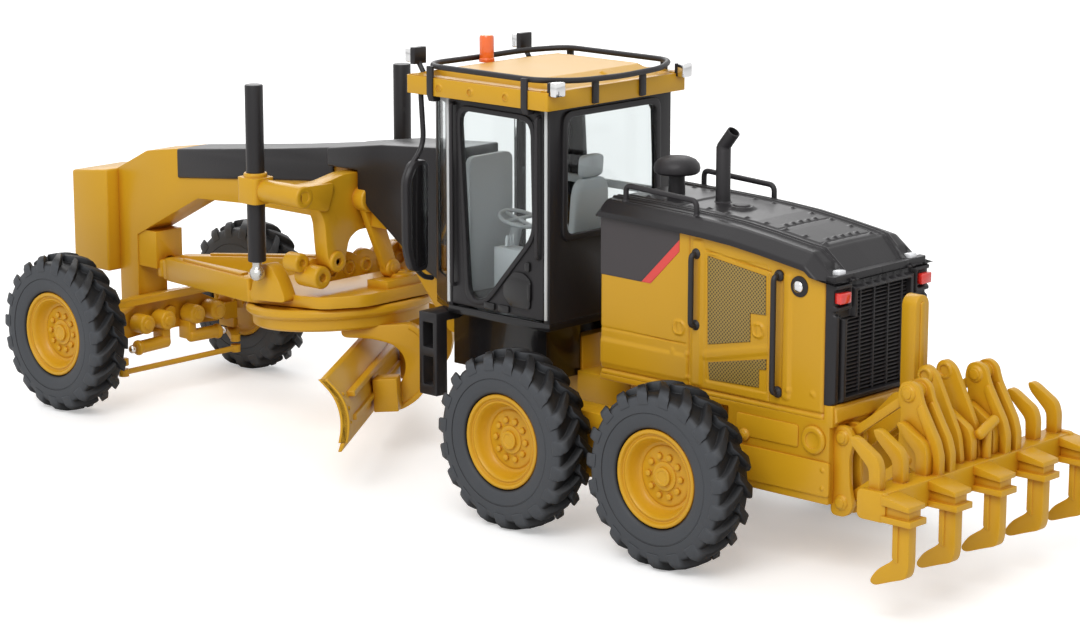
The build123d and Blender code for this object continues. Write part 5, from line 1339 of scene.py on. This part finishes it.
class GraderLooks(bpy.types.PropertyGroup):
    """Colours and gloss."""

    yellow: colour("Yellow", "Colour of the enamel", (0.61, 0.325, 0.012))
    yellow_painted_shade: colour("Deep yellow", "Colour of the enamel in corners", (0.42, 0.115, 0.002))
    black: colour("Black", "Colour of the black pieces", (0.02, 0.0185, 0.02))
    tread: colour("Tread", "Colour of the tyres' tread", (0.007, 0.0065, 0.007))
    sidewall: colour("Sidewall", "Colour of the tyres' sidewalls", (0.055, 0.059, 0.066))
    gloss: amount("Roughness", "Roughness of the enamel", 0.36, max=1)


class GraderTread(bpy.types.PropertyGroup):
    """Tread of the tyres."""

    lug_count: count("Lugs", "Lugs on each side of a tyre", 19, 8, 40)


class GraderGrain(bpy.types.PropertyGroup):
    """Fineness of the relief sheets."""

    steps: count("Steps", "Points along a relief sheet", 240, 60, 400)


class GraderLight(bpy.types.PropertyGroup):
    """Lamps and surroundings."""

    power: amount("Power", "Power of the key lamp", 7.5, unit="POWER")
    sky: amount("Sky", "Strength of the light from all round", 0.5)
    floor_glow: amount("Floor glow", "Light that the camera sees in the floor", 0.36)


SETTINGS = {
    "grader_looks": GraderLooks, "grader_tread": GraderTread, "grader_grain": GraderGrain,
    "grader_light": GraderLight,
}


class GraderFinishes(bpy.types.Operator):
    """Build the finishes"""

    bl_idname = "grader.finishes"
    bl_label = "Finishes"

    def execute(self, context):
        make_finishes(context.scene.grader_looks)
        return {"FINISHED"}


class GraderWheels(bpy.types.Operator):
    """Build the tyres and rims"""

    bl_idname = "grader.wheels"
    bl_label = "Wheels"

    def execute(self, context):
        make_wheels(context.scene.grader_tread)
        return {"FINISHED"}


class GraderHood(bpy.types.Operator):
    """Build the hood, its grille and its fittings"""

    bl_idname = "grader.hood"
    bl_label = "Hood"

    def execute(self, context):
        grain = context.scene.grader_grain
        make_hood_sides(grain)
        make_hood_lid(grain)
        make_grille(grain)
        make_hood_fittings()
        return {"FINISHED"}


class GraderCab(bpy.types.Operator):
    """Build the cab, its roof, lamps, mirrors and inside"""

    bl_idname = "grader.cab"
    bl_label = "Cab"

    def execute(self, context):
        make_cab()
        make_roof(context.scene.grader_grain)
        make_cab_lamps()
        make_mirrors()
        make_cab_inside()
        return {"FINISHED"}


class GraderFrame(bpy.types.Operator):
    """Build the castings of the frames, axle, blade gear and ripper"""

    bl_idname = "grader.frame"
    bl_label = "Frame and gear"

    def execute(self, context):
        make_castings()
        make_bumper_trim()
        make_axle_trim()
        make_ripper()
        make_saddle()
        make_link_bar()
        make_drawbar()
        make_circle()
        make_blade()
        return {"FINISHED"}


class GraderStage(bpy.types.Operator):
    """Build the floor, lamps and camera"""

    bl_idname = "grader.stage"
    bl_label = "Stage"

    def execute(self, context):
        make_stage(context.scene.grader_light)
        return {"FINISHED"}


OPERATORS = (GraderFinishes, GraderWheels, GraderHood, GraderCab, GraderFrame, GraderStage)


class GraderPanel(bpy.types.Panel):
    """The grader's steps and settings."""

    bl_idname = "VIEW3D_PT_grader"
    bl_label = "Grader"
    bl_space_type = "VIEW_3D"
    bl_region_type = "UI"
    bl_category = "Grader"

    def draw(self, context):
        for operator in OPERATORS:
            self.layout.operator(operator.bl_idname)
        for name, group in SETTINGS.items():
            for key in group.__annotations__:
                self.layout.prop(getattr(context.scene, name), key)


def register():
    """Register the settings, operators and panel."""
    for name, group in SETTINGS.items():
        bpy.utils.register_class(group)
        setattr(bpy.types.Scene, name, bpy.props.PointerProperty(type=group))
    for operator in OPERATORS:
        bpy.utils.register_class(operator)
    bpy.utils.register_class(GraderPanel)


def unregister():
    """Remove what register() added."""
    bpy.utils.unregister_class(GraderPanel)
    for operator in OPERATORS:
        bpy.utils.unregister_class(operator)
    for name, group in SETTINGS.items():
        delattr(bpy.types.Scene, name)
        bpy.utils.unregister_class(group)


def main():
    """Build everything."""
    register()
    for step in ("finishes", "wheels", "hood", "cab", "frame", "stage"):
        getattr(bpy.ops.grader, step)()


if __name__ == "__main__":
    main()
